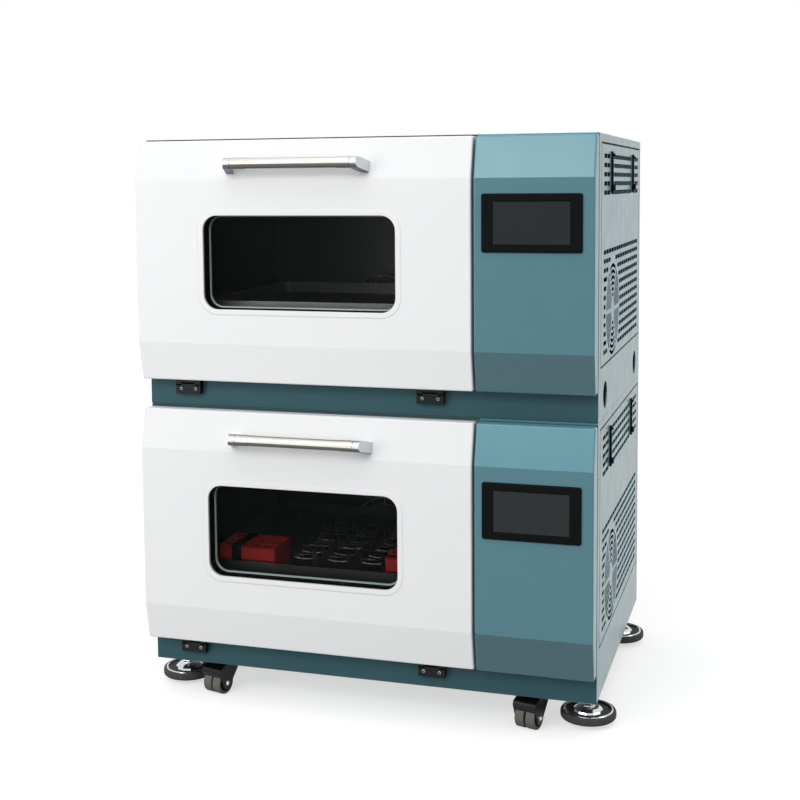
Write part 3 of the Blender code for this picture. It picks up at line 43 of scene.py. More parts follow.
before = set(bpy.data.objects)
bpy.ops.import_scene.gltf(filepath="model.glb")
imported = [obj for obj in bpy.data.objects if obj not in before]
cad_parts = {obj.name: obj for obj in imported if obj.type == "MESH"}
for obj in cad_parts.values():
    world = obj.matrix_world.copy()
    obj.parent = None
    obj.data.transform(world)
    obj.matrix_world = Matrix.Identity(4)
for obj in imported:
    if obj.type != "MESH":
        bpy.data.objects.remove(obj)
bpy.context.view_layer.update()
UNITS = ("lower", "upper")
CORNERS = ("front_left", "front_right", "rear_left", "rear_right")


def linear_colour(hex_value):
    """An sRGB hex value such as 54808C as a linear colour."""
    channels = [int(hex_value[at:at + 2], 16) / 255 for at in (0, 2, 4)]
    return [c / 12.92 if c <= 0.04045 else ((c + 0.055) / 1.055) ** 2.4 for c in channels]


def length(name, default, description):
    """A length property in metres."""
    return FloatProperty(name=name, description=description, default=default, min=0.0, unit="LENGTH", precision=4)


def colour(name, hex_value, description):
    """A colour property from an sRGB hex value."""
    return FloatVectorProperty(name=name, description=description, subtype="COLOR", size=3, min=0.0, max=1.0,
                               default=linear_colour(hex_value))


class ShakerSizes(bpy.types.PropertyGroup):
    """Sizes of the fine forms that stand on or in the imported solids."""
    bend: length("Sheet bend", 0.006, "Outer radius of a fold in the pressed fronts")
    edge: length("Sheet edge", 0.004, "Radius of the pressed fronts' outer edges")
    skin: length("Skin", 0.0025, "Thickness of the door's and the fascia's skin")
    trim_width: length("Trim width", 0.011, "Width of the window's raised trim")
    trim_rise: length("Trim rise", 0.0011, "How far the window's trim stands above the door")
    vent_slot: length("Vent slot", 0.036, "Length of one vent slot in the side panel")
    vent_web: length("Vent web", 0.0030, "Sheet left between two slots of a row")
    vent_height: length("Vent height", 0.0092, "Height of a vent slot")
    vent_pitch: length("Vent row pitch", 0.0187, "Distance between rows of vent slots")
    grille_radius: length("Grille radius", 0.100, "Outer radius of the round grille")
    grille_hub: length("Grille hub", 0.024, "Radius of the grille's middle")
    grille_rings: IntProperty(name="Grille rings", description="Rings of slots in the round grille", default=6, min=1)
    wire: length("Clamp wire", 0.0024, "Diameter of the flask clamps' spring wire")


class ShakerColours(bpy.types.PropertyGroup):
    """Colours of the visible finishes."""
    teal: colour("Teal powder coat", "42727D", "Cabinets, fascias and side panels")
    white: colour("White powder coat", "F4F5F6", "Doors and their window trims")
    sealant: colour("Sealant", "E6E8E9", "Joint round the windows' trims")
    black: colour("Black plastic", "0C0E0F", "Bezels, locks and gaskets")
    screen: colour("Display", "1C2426", "Touch screen that is switched off")
    glass: colour("Window tint", "060A0A", "Toughened glass of the windows")
    glass_edge: colour("Glass edge", "BAD0CB", "Polished edge of the inner glass")
    stainless: colour("Stainless steel", "B4B6B4", "Chamber, trays and clamps")
    nickel: colour("Handle nickel", "D6D3CC", "Handle bars")
    casting: colour("Satin nickel", "CDD0D3", "Handle brackets")
    chrome: colour("Bright plating", "D9DBDD", "Levelling feet")
    tread: colour("Castor tread", "7E7A72", "Castor wheels")
    dusty_rubber: colour("Foot rubber", "4C4D4A", "Pads of the levelling feet")
    rack: colour("Rack red", "D8382C", "Test tube racks")


# Outlines in a plane


def arc(radius, start, end, steps, centre=(0.0, 0.0)):
    """Points along an arc, with both ends."""
    angles = [start + (end - start) * step / steps for step in range(steps + 1)]
    return [(centre[0] + radius * math.cos(a), centre[1] + radius * math.sin(a)) for a in angles]


def circle(radius, centre=(0.0, 0.0), segments=48):
    """Points around a circle."""
    return arc(radius, 0.0, 2 * math.pi, segments, centre)[:-1]


def rectangle(width, height, centre=(0.0, 0.0)):
    """Corners of a rectangle."""
    a, b = width / 2, height / 2
    return [(centre[0] + x, centre[1] + y) for x, y in ((-a, -b), (a, -b), (a, b), (-a, b))]


def fillet(points, radii, steps=5):
    """A closed outline with its corners rounded, each by its own radius."""
    rounded = []
    for at, corner in enumerate(points):
        radius = radii[at] if isinstance(radii, (list, tuple)) else radii
        here = Vector(corner)
        before = (Vector(points[at - 1]) - here).normalized()
        after = (Vector(points[(at + 1) % len(points)]) - here).normalized()
        if radius <= 0.0 or abs(before.cross(after)) < 1e-6:
            rounded.append(tuple(here))
            continue
        half = before.angle(after) / 2
        middle = here + (before + after).normalized() * (radius / math.sin(half))
        first = here + before * (radius / math.tan(half)) - middle
        last = here + after * (radius / math.tan(half)) - middle
        start = math.atan2(first.y, first.x)
        sweep = math.atan2(first.cross(last), first.dot(last))
        rounded += arc(radius, start, start + sweep, steps, tuple(middle))
    return rounded


def rounded_rectangle(width, height, radius, centre=(0.0, 0.0), steps=8):
    """Outline of a rectangle with round corners."""
    return fillet(rectangle(width, height, centre), radius, steps)


# Solids


def along(axis, a, b, distance):
    """A point from two coordinates in a plane and the distance along its normal."""
    return Vector({"X": (distance, a, b), "Y": (a, distance, b), "Z": (a, b, distance)}[axis])


def level(outline, axis, distance):
    """An outline as a loop of points at a distance along an axis."""
    return [along(axis, a, b, distance) for a, b in outline]


def loft(loops, caps=True, closed=False):
    """A skin over loops that have as many points each, with caps over its ends."""
    bm = bmesh.new()
    rings = [[bm.verts.new(point) for point in loop] for loop in loops]
    pairs = list(zip(rings, rings[1:]))
    if closed:
        pairs.append((rings[-1], rings[0]))
    for near, far in pairs:
        for at in range(len(near)):
            after = (at + 1) % len(near)
            bm.faces.new((near[at], near[after], far[after], far[at]))
    if caps and not closed:
        bm.faces.new(rings[0])
        bm.faces.new(rings[-1])
    bmesh.ops.recalc_face_normals(bm, faces=bm.faces)
    return bm


def prism(outline, axis, start, end):
    """An outline extruded along an axis."""
    return loft([level(outline, axis, start), level(outline, axis, end)])


def box(low, high):
    """A box between two corners."""
    middle = ((low[0] + high[0]) / 2, (low[1] + high[1]) / 2)
    return prism(rectangle(high[0] - low[0], high[1] - low[1], middle), "Z", low[2], high[2])


def turned(profile, axis="Z", centre=(0.0, 0.0), segments=48):
    """A profile of (radius, distance) points turned about a line along an axis."""
    bm = loft([level(circle(max(radius, 1e-5), centre, segments), axis, distance) for radius, distance in profile])
    bmesh.ops.remove_doubles(bm, verts=bm.verts, dist=3e-5)
    bmesh.ops.recalc_face_normals(bm, faces=bm.faces)
    return bm


def plate(outline, holes, axis, start, end):
    """A flat plate with holes through it, from an outline and the holes' outlines."""
    bm = bmesh.new()
    edges = []
    for loop in [outline] + holes:
        ring = [bm.verts.new(point) for point in level(loop, axis, start)]
        edges += [bm.edges.new((ring[at - 1], ring[at])) for at in range(len(ring))]
    bmesh.ops.triangle_fill(bm, use_beauty=True, edges=edges, normal=along(axis, 0.0, 0.0, 1.0))
    grown = bmesh.ops.extrude_face_region(bm, geom=list(bm.faces), use_keep_orig=True)
    moved = [item for item in grown["geom"] if isinstance(item, bmesh.types.BMVert)]
    bmesh.ops.translate(bm, vec=along(axis, 0.0, 0.0, end - start), verts=moved)
    bmesh.ops.recalc_face_normals(bm, faces=bm.faces)
    return bm


def tube(path, radius, sides=8, closed=False):
    """A round wire along a path of points, carried without twist from point to point."""
    points = [Vector(point) for point in path]
    count = len(points)
    loops, normal = [], None
    for at, point in enumerate(points):
        before = points[at - 1] if closed or at else point
        after = points[(at + 1) % count] if closed or at + 1 < count else point
        ahead = (after - before).normalized()
        if normal is None:
            normal = ahead.orthogonal().normalized()
        normal = (normal - ahead * normal.dot(ahead)).normalized()
        side = ahead.cross(normal)
        loops.append([point + normal * a + side * b for a, b in circle(radius, segments=sides)])
    return loft(loops, caps=not closed, closed=closed)


def together(solids):
    """Several solids as one mesh."""
    bm = bmesh.new()
    for solid in solids:
        mesh = bpy.data.meshes.new("part")
        solid.to_mesh(mesh)
        solid.free()
        bm.from_mesh(mesh)
        bpy.data.meshes.remove(mesh)
    return bm


def moved(solid, matrix):
    """A solid after a move or a turn."""
    bmesh.ops.transform(solid, matrix=matrix, verts=solid.verts)
    return solid


def carve(solid, tool, operation="DIFFERENCE"):
    """A solid less another one or, with INTERSECT, only what both share."""
    made = []
    for name, bm in (("solid", solid), ("tool", tool)):
        mesh = bpy.data.meshes.new(name)
        bm.to_mesh(mesh)
        bm.free()
        made.append(bpy.data.objects.new(name, mesh))
        bpy.context.scene.collection.objects.link(made[-1])
    change = made[0].modifiers.new("change", "BOOLEAN")
    change.operation = operation
    change.object = made[1]
    result = bmesh.new()
    result.from_object(made[0], bpy.context.evaluated_depsgraph_get())
    for ob in made:
        mesh = ob.data
        bpy.data.objects.remove(ob)
        bpy.data.meshes.remove(mesh)
    return result


def rounded_box(low, high, radius, segments=3):
    """A box with all its edges rounded."""
    bm = box(low, high)
    bmesh.ops.bevel(bm, geom=list(bm.edges), offset=radius, segments=segments, profile=0.5, affect="EDGES")
    return bm


def soften(bm, radius, angle=30.0, segments=3):
    """A solid with its sharp edges rounded."""
    sharp = [e for e in bm.edges if len(e.link_faces) == 2 and e.calc_face_angle(0.0) > math.radians(angle)]
    bmesh.ops.bevel(bm, geom=sharp, offset=radius, segments=segments, profile=0.5, affect="EDGES",
                    clamp_overlap=True)
    return bm


def screw_head(centre, face):
    """A button-head screw with a round socket, seated at face with its crown towards -Y."""
    radius, height = 0.0042, 0.0020
    socket = radius * 0.54
    crown = [(radius * math.cos(a), height * math.sin(a)) for a in map(math.radians, (0, 20, 40, 55))]
    profile = [(radius, 0.0)] + crown + [(socket, height * 0.95), (socket, height * 0.25), (0.0, height * 0.25)]
    return turned([(r, face - h) for r, h in profile], "Y", centre, 24)


def raised(profile, base):
    """A profile of (radius, height) points with its heights counted from a base."""
    return [(radius, base + height) for radius, height in profile]


# Materials


def add_node(tree, kind, inputs=(), **settings):
    """A shader node with its settings, its input values and its links from other nodes' sockets."""
    made = tree.nodes.new(kind)
    for name, value in settings.items():
        setattr(made, name, value)
    for socket, value in dict(inputs).items():
        if isinstance(value, bpy.types.NodeSocket):
            tree.links.new(value, made.inputs[socket])
        else:
            made.inputs[socket].default_value = value
    return made


def new_material(name, inputs):
    """A node material with only its Principled shader, which has these inputs and is linked to the output."""
    made = bpy.data.materials.new(name)
    made.use_nodes = True
    tree = made.node_tree
    tree.nodes.clear()
    shader = add_node(tree, "ShaderNodeBsdfPrincipled", inputs)
    add_node(tree, "ShaderNodeOutputMaterial", {"Surface": shader.outputs["BSDF"]})
    return made, tree, shader


def shade(tint, share):
    """A colour made darker."""
    return [channel * share for channel in tint]


def surface(name, tint, roughness, grain, bump, metallic=0.0, stretch=(1.0, 1.0, 1.0), drift=0.94, spread=0.08,
            coat=0.0, patch=0.05, gloss=0.5, sheen=0.0, dust=None, turn=(-0.2, 0.2)):
    """A finish with a fine relief of one grain, and a colour and a roughness that drift over patches.

    grain and patch are sizes in metres, bump is the relief's height in metres, stretch divides
    the grain along each axis, gloss is the strength of the plain reflection, sheen that of a warm
    bloom at a flat view, which is a painted warm reflection, and the factors of painted shade and
    painted light on the tint of what faces down and what faces up change over between the two
    normals' heights in turn.
    """
    # The warm sheen tint is a painted reflection of warm surroundings seen at a flat view
    made, tree, shader = new_material(name, {
        "Metallic": metallic, "Specular IOR Level": gloss, "Coat Weight": coat, "Coat Roughness": 0.2,
        "Sheen Weight": sheen, "Sheen Roughness": 0.35, "Sheen Tint": (1.0, 0.86, 0.64, 1.0)})
    place = add_node(tree, "ShaderNodeTexCoord").outputs["Object"]
    drawn = add_node(tree, "ShaderNodeMapping", {"Vector": place, "Scale": stretch}).outputs["Vector"]
    relief = add_node(tree, "ShaderNodeTexNoise", {"Vector": drawn, "Scale": 1.0 / grain, "Detail": 3.0})
    height = add_node(tree, "ShaderNodeBump", {"Height": relief.outputs["Fac"], "Distance": bump, "Strength": 1.0})
    wear = add_node(tree, "ShaderNodeTexNoise", {"Vector": drawn, "Scale": 1.0 / patch, "Detail": 4.0})
    ranged = add_node(tree, "ShaderNodeMapRange", {
        "Value": wear.outputs["Fac"], "From Min": 0.3, "From Max": 0.7,
        "To Min": roughness - spread / 2, "To Max": roughness + spread / 2})
    drifting = add_node(tree, "ShaderNodeTexNoise", {"Vector": place, "Scale": 0.5 / patch, "Detail": 2.0})
    paint = add_node(tree, "ShaderNodeMix", {"Factor": drifting.outputs["Fac"], "A": (*shade(tint, drift), 1.0),
                                             "B": (*tint, 1.0)}, data_type="RGBA").outputs["Result"]
    # Painted shade and painted light: the tint is scaled by which way a face looks, with one factor for what faces
    # down and one for what faces up
    if dust:
        facing = add_node(tree, "ShaderNodeTexCoord").outputs["Normal"]
        up = add_node(tree, "ShaderNodeSeparateXYZ", {"Vector": facing}).outputs["Z"]
        share = add_node(tree, "ShaderNodeMapRange", {"Value": up, "From Min": turn[0], "From Max": turn[1],
                                                      "To Min": dust[0], "To Max": dust[1]}).outputs["Result"]
        paint = add_node(tree, "ShaderNodeVectorMath", {0: paint, "Scale": share}, operation="SCALE").outputs[0]
    tree.links.new(paint, shader.inputs["Base Color"])
    tree.links.new(ranged.outputs["Result"], shader.inputs["Roughness"])
    tree.links.new(height.outputs["Normal"], shader.inputs["Normal"])
    return made


def metal(name, tint, roughness, grain, bump, **settings):
    """A finish of bare or plated metal."""
    return surface(name, tint, roughness, grain, bump, metallic=1.0, **settings)


def make_materials(colours):
    """Every finish of the machine by a short name."""
    teal, white, black, stainless = colours.teal, colours.white, colours.black, colours.stainless
    return {
        # Semi-gloss polyester powder, stoved: a faint orange peel, drawn at 3 mm so that it shows. What faces up
        # is painted lighter as a painted highlight, what faces down is painted darker as painted shade, and the
        # warm sheen is a painted reflection
        "teal": surface("teal_powder_coat", teal, 0.33, 0.003, 0.00006, drift=0.96, coat=0.3, gloss=0.45,
                        sheen=0.1, dust=(0.64, 1.64)),
        # The plinth plate's paint: the teal darkened to 0.55 as painted shade under the overhanging front, and rough
        "plinth_painted_shade": surface("teal_powder_coat_painted_shade", shade(teal, 0.55), 0.5, 0.003, 0.00008, drift=0.85,
                          gloss=0.25),
        # The same powder process in white, smoother, with painted shade on what faces up and painted light on what
        # faces down, evening out the light on the facets
        "white": surface("white_powder_coat", white, 0.38, 0.004, 0.00004, drift=0.985, gloss=0.18,
                         dust=(1.06, 0.925)),
        # Vacuum-formed ABS of the inner door, matt
        "pan": surface("white_formed_abs", shade(white, 0.92), 0.5, 0.002, 0.00004, drift=0.97),
        # Acrylic sealant drawn round the window's trim: matt, its grey a painted shade of the groove at the trim's
        # edge
        "sealant": surface("grey_joint_painted_shade", colours.sealant, 0.6, 0.003, 0.0001, drift=0.9),
        # Spark-eroded ABS of the bezel: a fine even grain that takes most of the shine
        "bezel": surface("black_moulded_abs", black, 0.45, 0.0012, 0.00004, gloss=0.05),
        # Glass-filled nylon of the locks and the fan, drier than ABS
        "nylon": surface("black_glass_filled_nylon", black, 0.5, 0.0015, 0.00006, gloss=0.07),
        # Electrophoretic paint on steel: thin, even, half gloss
        "black_paint": surface("black_electrocoat", black, 0.38, 0.002, 0.00003, gloss=0.2),
        # Silicone and rubber: matt, slightly dusty
        "rubber": surface("black_silicone", black, 0.6, 0.002, 0.00008, drift=0.8, spread=0.15, gloss=0.04),
        # Moulded rubber of the feet, grey with dust from the floor
        "pad": surface("dusty_moulded_rubber", colours.dusty_rubber, 0.7, 0.002, 0.0001, drift=0.7,
                       spread=0.15, patch=0.012, gloss=0.15),
        # Cast polyurethane that has picked up grit: speckled at 2 mm and quite rough
        "tread": surface("grey_polyurethane_tread", colours.tread, 0.75, 0.0022, 0.0005, drift=0.45,
                         spread=0.15, patch=0.0011, gloss=0.2),
        # Open-cell foam of the filter mats, cells drawn at 3 mm
        "foam": surface("black_filter_foam", black, 0.95, 0.003, 0.0012, drift=0.5, patch=0.002, gloss=0.05),
        # The chamber's sheet: stainless rolled along the machine's width, with a dull pickled skin, its tint darkened
        # to 0.4 as painted shade of the dim chamber
        "liner": metal("stainless_in_painted_shade", shade(stainless, 0.4), 0.42, 0.002, 0.00003,
                       stretch=(0.05, 1.0, 1.0), drift=0.88),
        # The upper tray's sheet, glass-blasted: an even satin that throws light every way
        "tray": metal("blasted_stainless", stainless, 0.5, 0.0015, 0.00004, drift=0.9),
        # Satin nickel on tube, linished round the bar, with its underside painted dark as painted shade
        "nickel": metal("satin_nickel_tube", colours.nickel, 0.27, 0.0016, 0.00002, stretch=(1.0, 0.2, 0.2),
                        drift=0.96, dust=(0.17, 1.0), turn=(-0.24, -0.1)),
        # The handle's ends: the same nickel on a shot-blasted zinc casting, with painted shade on what faces down and
        # a faint painted highlight on what faces up
        "casting": metal("satin_nickel_casting", colours.casting, 0.33, 0.0012, 0.00004, drift=0.93,
                         dust=(0.2, 1.05), turn=(-0.3, -0.1)),
        # Bright zinc over rolled steel: near mirror, with a slight haze
        "chrome": metal("bright_zinc_plate", colours.chrome, 0.13, 0.004, 0.00002, drift=0.9),
        # Turned steel of the cranks and screws: fine rings that catch the light
        "steel": metal("machined_steel", stainless, 0.3, 0.001, 0.00003, stretch=(1.0, 1.0, 0.1), drift=0.85),
        # Sand-cast aluminium of the motor: a coarse dull skin
        "aluminium": metal("cast_aluminium", shade(stainless, 0.8), 0.5, 0.0016, 0.0001, drift=0.85),
        # Cold-drawn spring wire, its tint darkened to 0.45 as painted shade of the dim chamber
        "spring": metal("spring_wire_stainless", shade(stainless, 0.45), 0.35, 0.001, 0.00001),
        # Wire of the duct guards, dipped in pale nylon: matt, so that it shows in the dark chamber
        "guard": surface("nylon_coated_wire", colours.casting, 0.5, 0.0015, 0.00003, drift=0.9, gloss=0.3),
        # Polypropylene of the tube racks: waxy, with a moulded grain
        "red": surface("red_moulded_polypropylene", colours.rack, 0.4, 0.002, 0.00004, drift=0.9, gloss=0.3),
        # Edge of the inner glass: ground, polished and green from iron in the glass, with painted shade on what faces
        # down
        "glass_edge": surface("polished_glass_edge", colours.glass_edge, 0.15, 0.003, 0.00001,
                              dust=(0.2, 1.0), turn=(-0.7, 0.3)),
        # Cover glass of the switched-off display: smooth over a dark grey panel
        "screen": surface("dark_display_glass", colours.screen, 0.1, 0.02, 0.000002, spread=0.02, gloss=0.22),
        "glass": glass("tinted_toughened_glass", colours.glass),
    }


def glass(name, tint):
    """Toughened float glass with a dark tint: most of the light passes, little is thrown back."""
    made, tree, shader = new_material(name, {"Base Color": (*tint, 1.0), "Roughness": 0.03, "IOR": 1.52,
                                             "Specular IOR Level": 0.1, "Alpha": 0.13})
    place = add_node(tree, "ShaderNodeTexCoord").outputs["Object"]
    # Roller wave of toughened glass, about 0.1 m long and far under a millimetre high
    wave = add_node(tree, "ShaderNodeTexNoise", {"Vector": place, "Scale": 10.0, "Detail": 0.0})
    height = add_node(tree, "ShaderNodeBump", {"Height": wave.outputs["Fac"], "Distance": 0.0004, "Strength": 1.0})
    tree.links.new(height.outputs["Normal"], shader.inputs["Normal"])
    return made


FINISHES = {}


def finish_of(name):
    """A finish by its short name; all are made at the first call."""
    if not FINISHES:
        FINISHES.update(make_materials(bpy.context.scene.shaker_colours))
    return FINISHES[name]


# Pieces


def unit_origin(unit):
    """Where a unit's own frame lies: x from the middle, y back from the cabinet's front, z up."""
    low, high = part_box(f"{unit}_cabinet")
    return Vector(((low.x + high.x) / 2, low.y, low.z))


def add_piece(name, bm, finish, body, origin=None, replaces=(), smooth=30.0):
    """A finished piece: its mesh, its finish, the body it rides on and the nodes it stands for."""
    if origin is not None:
        bmesh.ops.translate(bm, vec=origin, verts=bm.verts)
    mesh = bpy.data.meshes.new(name)
    bm.to_mesh(mesh)
    bm.free()
    mesh.materials.append(finish_of(finish))
    mesh.shade_smooth()
    mesh.set_sharp_from_angle(angle=math.radians(smooth))
    made = bpy.data.objects.new(name, mesh)
    bpy.context.scene.collection.objects.link(made)
    even = made.modifiers.new("even_shading", "WEIGHTED_NORMAL")
    even.keep_sharp = True
    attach(made, body)
    if replaces:
        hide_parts(*replaces)


def unit_piece(unit, name, bm, finish, body=None, replaces=(), smooth=30.0):
    """A piece of one unit, built in the unit's own frame; its body and nodes go without the unit's name."""
    add_piece(f"{unit}_{name}", bm, finish, f"{unit}_{body}" if body else "root", unit_origin(unit),
              [f"{unit}_{node}" for node in replaces], smooth)


def dress(node, finish):
    """Gives a carried-over solid its finish."""
    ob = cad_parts[node]
    ob.data.materials.clear()
    ob.data.materials.append(finish_of(finish))
    ob.data.shade_smooth()
    ob.data.set_sharp_from_angle(angle=math.radians(30))


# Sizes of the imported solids, in a unit's own frame
HALF_WIDTH = 0.495
CABINET_DEPTH = 0.700
CABINET_HEIGHT = 0.580
FLOOR_CLEARANCE = 0.076
PLINTH = 0.061
LOWER_CREASE = PLINTH + 0.083
FRONT_TOP = CABINET_HEIGHT - 0.004
UPPER_CREASE = FRONT_TOP - 0.084
BOTTOM_REACH, MIDDLE_REACH, TOP_REACH = 0.038, 0.054, 0.033
FACET_LEAN = math.atan2(MIDDLE_REACH - TOP_REACH, FRONT_TOP - UPPER_CREASE)
DOOR_BACK = -0.010
DOOR_LEFT = -HALF_WIDTH
DOOR_RIGHT = 0.247
FASCIA_LEFT = 0.252
DOOR_MIDDLE = (DOOR_LEFT + DOOR_RIGHT) / 2
WINDOW = (0.427, 0.199)
WINDOW_CORNER = 0.031
WINDOW_MIDDLE = (DOOR_MIDDLE, (LOWER_CREASE + UPPER_CREASE) / 2)
HANDLE_HALF = 0.159
HANDLE_RADIUS = 0.012
HANDLE_AXIS = (HANDLE_RADIUS - 0.098, FRONT_TOP - 0.050)
BRACKET_WIDTH = 0.014
BRACKET_FOOT = 0.018
BRACKET_FLARE = 0.014
COLLAR = 0.030
HINGE_AXIS = (-0.011, 0.0552)
HINGE_X = {"left": DOOR_LEFT + 0.097, "right": DOOR_RIGHT - 0.097}
HINGE_HALF = 0.029
PIN_RADIUS = 0.0025
KNUCKLE_RADIUS = 0.005
FIXED_KNUCKLE = 0.013
SCREEN_SIZE = (0.202, 0.117)
SCREEN_MIDDLE = (HALF_WIDTH - 0.024 - SCREEN_SIZE[0] / 2, UPPER_CREASE - 0.031 - SCREEN_SIZE[1] / 2)
DISPLAY = (0.154, 0.084)
PANEL_Y = (0.030, CABINET_DEPTH - 0.022)
PANEL_Z = (0.107, CABINET_HEIGHT - 0.019)
PANEL_SHEET = 0.002
PANEL_SEAM = 0.0025
FASCIA_BACK = -0.008
PANEL_FACE = HALF_WIDTH - PANEL_SHEET
GRILLE = (0.206, PANEL_Z[0] + 0.105)
FAN_DEPTH = 0.026
FAN_HUB = 0.034
FAN_BLADES = 7
LOCK_Y = {"front": 0.173, "rear": 0.536}
LOCK_Z = PANEL_Z[1] - 0.091
LOCK_REACH = 0.076
CHAMBER_DEPTH = 0.600
CHAMBER_FLOOR = 0.150
TRAY_TOP = CHAMBER_FLOOR + 0.053
TRAY_MIDDLE = (DOOR_MIDDLE + 0.013, 0.300)
CASTOR_INSET = (0.140, 0.048)
CASTOR_TURN = math.radians(-15)
CASTOR_TRAIL = 0.020
WHEEL_RADIUS = 0.025
WHEEL_PAIR = 0.0225
FOOT_INSET = (0.031, 0.095)
FOOT_RAISED = 0.010
GAP = 0.0004
SEAT = 0.0003
THROUGH = -0.1


def ground_place(corner, inset):
    """A point on the floor near a corner of the base."""
    x = HALF_WIDTH - inset[0]
    y = inset[1] if "front" in corner else CABINET_DEPTH - inset[1]
    return unit_origin("lower") + Vector((-x if "left" in corner else x, y, -FLOOR_CLEARANCE))


def front_reach(z):
    """How far the pressed front stands before the cabinet at a height."""
    if z <= LOWER_CREASE:
        return BOTTOM_REACH + (z - PLINTH) / (LOWER_CREASE - PLINTH) * (MIDDLE_REACH - BOTTOM_REACH)
    if z <= UPPER_CREASE:
        return MIDDLE_REACH
    return MIDDLE_REACH + (z - UPPER_CREASE) / (FRONT_TOP - UPPER_CREASE) * (TOP_REACH - MIDDLE_REACH)


def front_outline(inset, back, bend, edge):
    """The (y, z) outline of a pressed front with rounded folds, moved in by inset."""
    low, high = PLINTH + inset, FRONT_TOP - inset
    heights = (low, LOWER_CREASE, UPPER_CREASE, high)
    points = [(back, low)] + [(inset - front_reach(z), z) for z in heights] + [(back, high)]
    return fillet(points, [0.0, edge, bend, bend, edge, 0.0], 5)


def window_outline(grow):
    """The window's (x, z) outline, made larger by grow on every side."""
    return rounded_rectangle(WINDOW[0] + 2 * grow, WINDOW[1] + 2 * grow, WINDOW_CORNER + grow, WINDOW_MIDDLE)


def pressed_front(left, right, back, sizes):
    """A hollow pressed front between two sides, with its outer edges rounded."""
    edge, rings = sizes.edge, []
    for turn in (0.0, 0.4, 0.8, 1.2, math.pi / 2):
        inset = edge * (1 - math.sin(turn))
        outline = front_outline(inset, back, max(sizes.bend - inset, 0.001), max(edge - inset / 2, 0.0008))
        rings.append((outline, edge * (1 - math.cos(turn))))
    levels = [level(outline, "X", left + step) for outline, step in rings]
    levels += [level(outline, "X", right - step) for outline, step in reversed(rings)]
    skin = sizes.skin
    hollow = prism(front_outline(skin, 0.05, sizes.bend - skin, 0.001), "X", left + skin, right - skin)
    return carve(loft(levels), hollow)


class ShakerDress(bpy.types.Operator):
    """Gives the solids that stay in view their finishes"""
    bl_idname = "shaker.dress"
    bl_label = "Finishes"

    def execute(self, context):
        """Assigns a finish to each such solid."""
        finishes = {"cabinet": "teal", "chamber_liner": "liner", "door_pan": "pan", "drive_motor": "aluminium",
                    "main_crank": "steel", "idler_crank_left": "steel", "idler_crank_right": "steel",
                    "door_gasket": "rubber", "window_pane": "glass", "inner_pane": "glass",
                    "shaking_tray": "tray"}
        for unit in UNITS:
            for node, finish in finishes.items():
                dress(f"{unit}_{node}", finish)
        # The lower tray takes the chamber's darkened steel, painted shade of the dim chamber
        dress("lower_shaking_tray", "liner")
        return {"FINISHED"}


class ShakerDoors(bpy.types.Operator):
    """Builds the pressed door skins with their hinge knuckles"""
    bl_idname = "shaker.doors"
    bl_label = "Doors"

    def execute(self, context):
        """One skin and two knuckles for each door."""
        y, z = HINGE_AXIS
        half = HINGE_HALF - FIXED_KNUCKLE - 0.0005
        outline = arc(KNUCKLE_RADIUS, math.pi, math.tau, 16, HINGE_AXIS)
        outline += [(y + KNUCKLE_RADIUS, z + 0.001), (DOOR_BACK, PLINTH + 0.0005),
                    (y - KNUCKLE_RADIUS, PLINTH + 0.0005)]
        for unit in UNITS:
            skin = pressed_front(DOOR_LEFT, DOOR_RIGHT, DOOR_BACK, context.scene.shaker_sizes)
            skin = carve(skin, prism(window_outline(0.0), "Y", THROUGH, 0.0))
            unit_piece(unit, "door_skin", skin, "white", "door", ["door_shell"], smooth=25)
            for side, x in HINGE_X.items():
                knuckle = plate(outline, [circle(PIN_RADIUS + GAP, HINGE_AXIS, 24)], "X", x - half, x + half)
                unit_piece(unit, f"door_knuckle_{side}", knuckle, "black_paint", "door")
        return {"FINISHED"}


class ShakerWindows(bpy.types.Operator):
    """Builds the rings round the windows"""
    bl_idname = "shaker.windows"
    bl_label = "Windows"

    def execute(self, context):
        """A raised trim with its joint, a dark sleeve behind it, and the inner glass's bright edge and seat.

        Each section is a list of (distance outside the window's edge, distance behind the door's face).
        """
        width, rise = context.scene.shaker_sizes.trim_width, context.scene.shaker_sizes.trim_rise
        front, back = 0.0081, MIDDLE_REACH + DOOR_BACK - 0.0056
        rings = (
            ("window_trim", "white", "white_paint",
             [(0.0004, 0.0024), (0.0, 0.0), (0.0, -rise * 0.55), (0.0006, -rise * 0.9), (0.0016, -rise),
              (width - 0.0022, -rise), (width - 0.0008, -rise * 0.8), (width, -rise * 0.3), (width, 0.0),
              (width - 0.0004, 0.0010)]),
            # The joint's grey ring is painted shade of the groove round the trim
            ("window_trim_joint", "sealant", "gasket_rubber",
             [(width - 0.0006, -0.0001), (width - 0.0006, -0.0006), (width + 0.0004, -0.0005),
              (width + 0.0013, -0.0002), (width + 0.0013, 0.0005)]),
            ("window_sleeve", "rubber", "gasket_rubber",
             [(0.0007, front), (0.0007, back), (-0.0012, back), (-0.0012, front)]),
            ("inner_glass_edge", "glass_edge", "window_glass",
             [(-0.0012, 0.0290), (-0.0034, 0.0296), (-0.0042, 0.0306), (-0.0042, 0.0334), (-0.0034, 0.0344),
              (-0.0012, 0.0348)]),
            ("inner_glass_seat", "spring", "stainless",
             [(-0.0012, 0.0368), (-0.0022, 0.0368), (-0.0026, 0.0378), (-0.0012, 0.0380)]))
        for unit in UNITS:
            for name, finish, slot, section in rings:
                ring = loft([level(window_outline(grow), "Y", y - MIDDLE_REACH) for grow, y in section], closed=True)
                unit_piece(unit, name, ring, finish, "door")
        return {"FINISHED"}


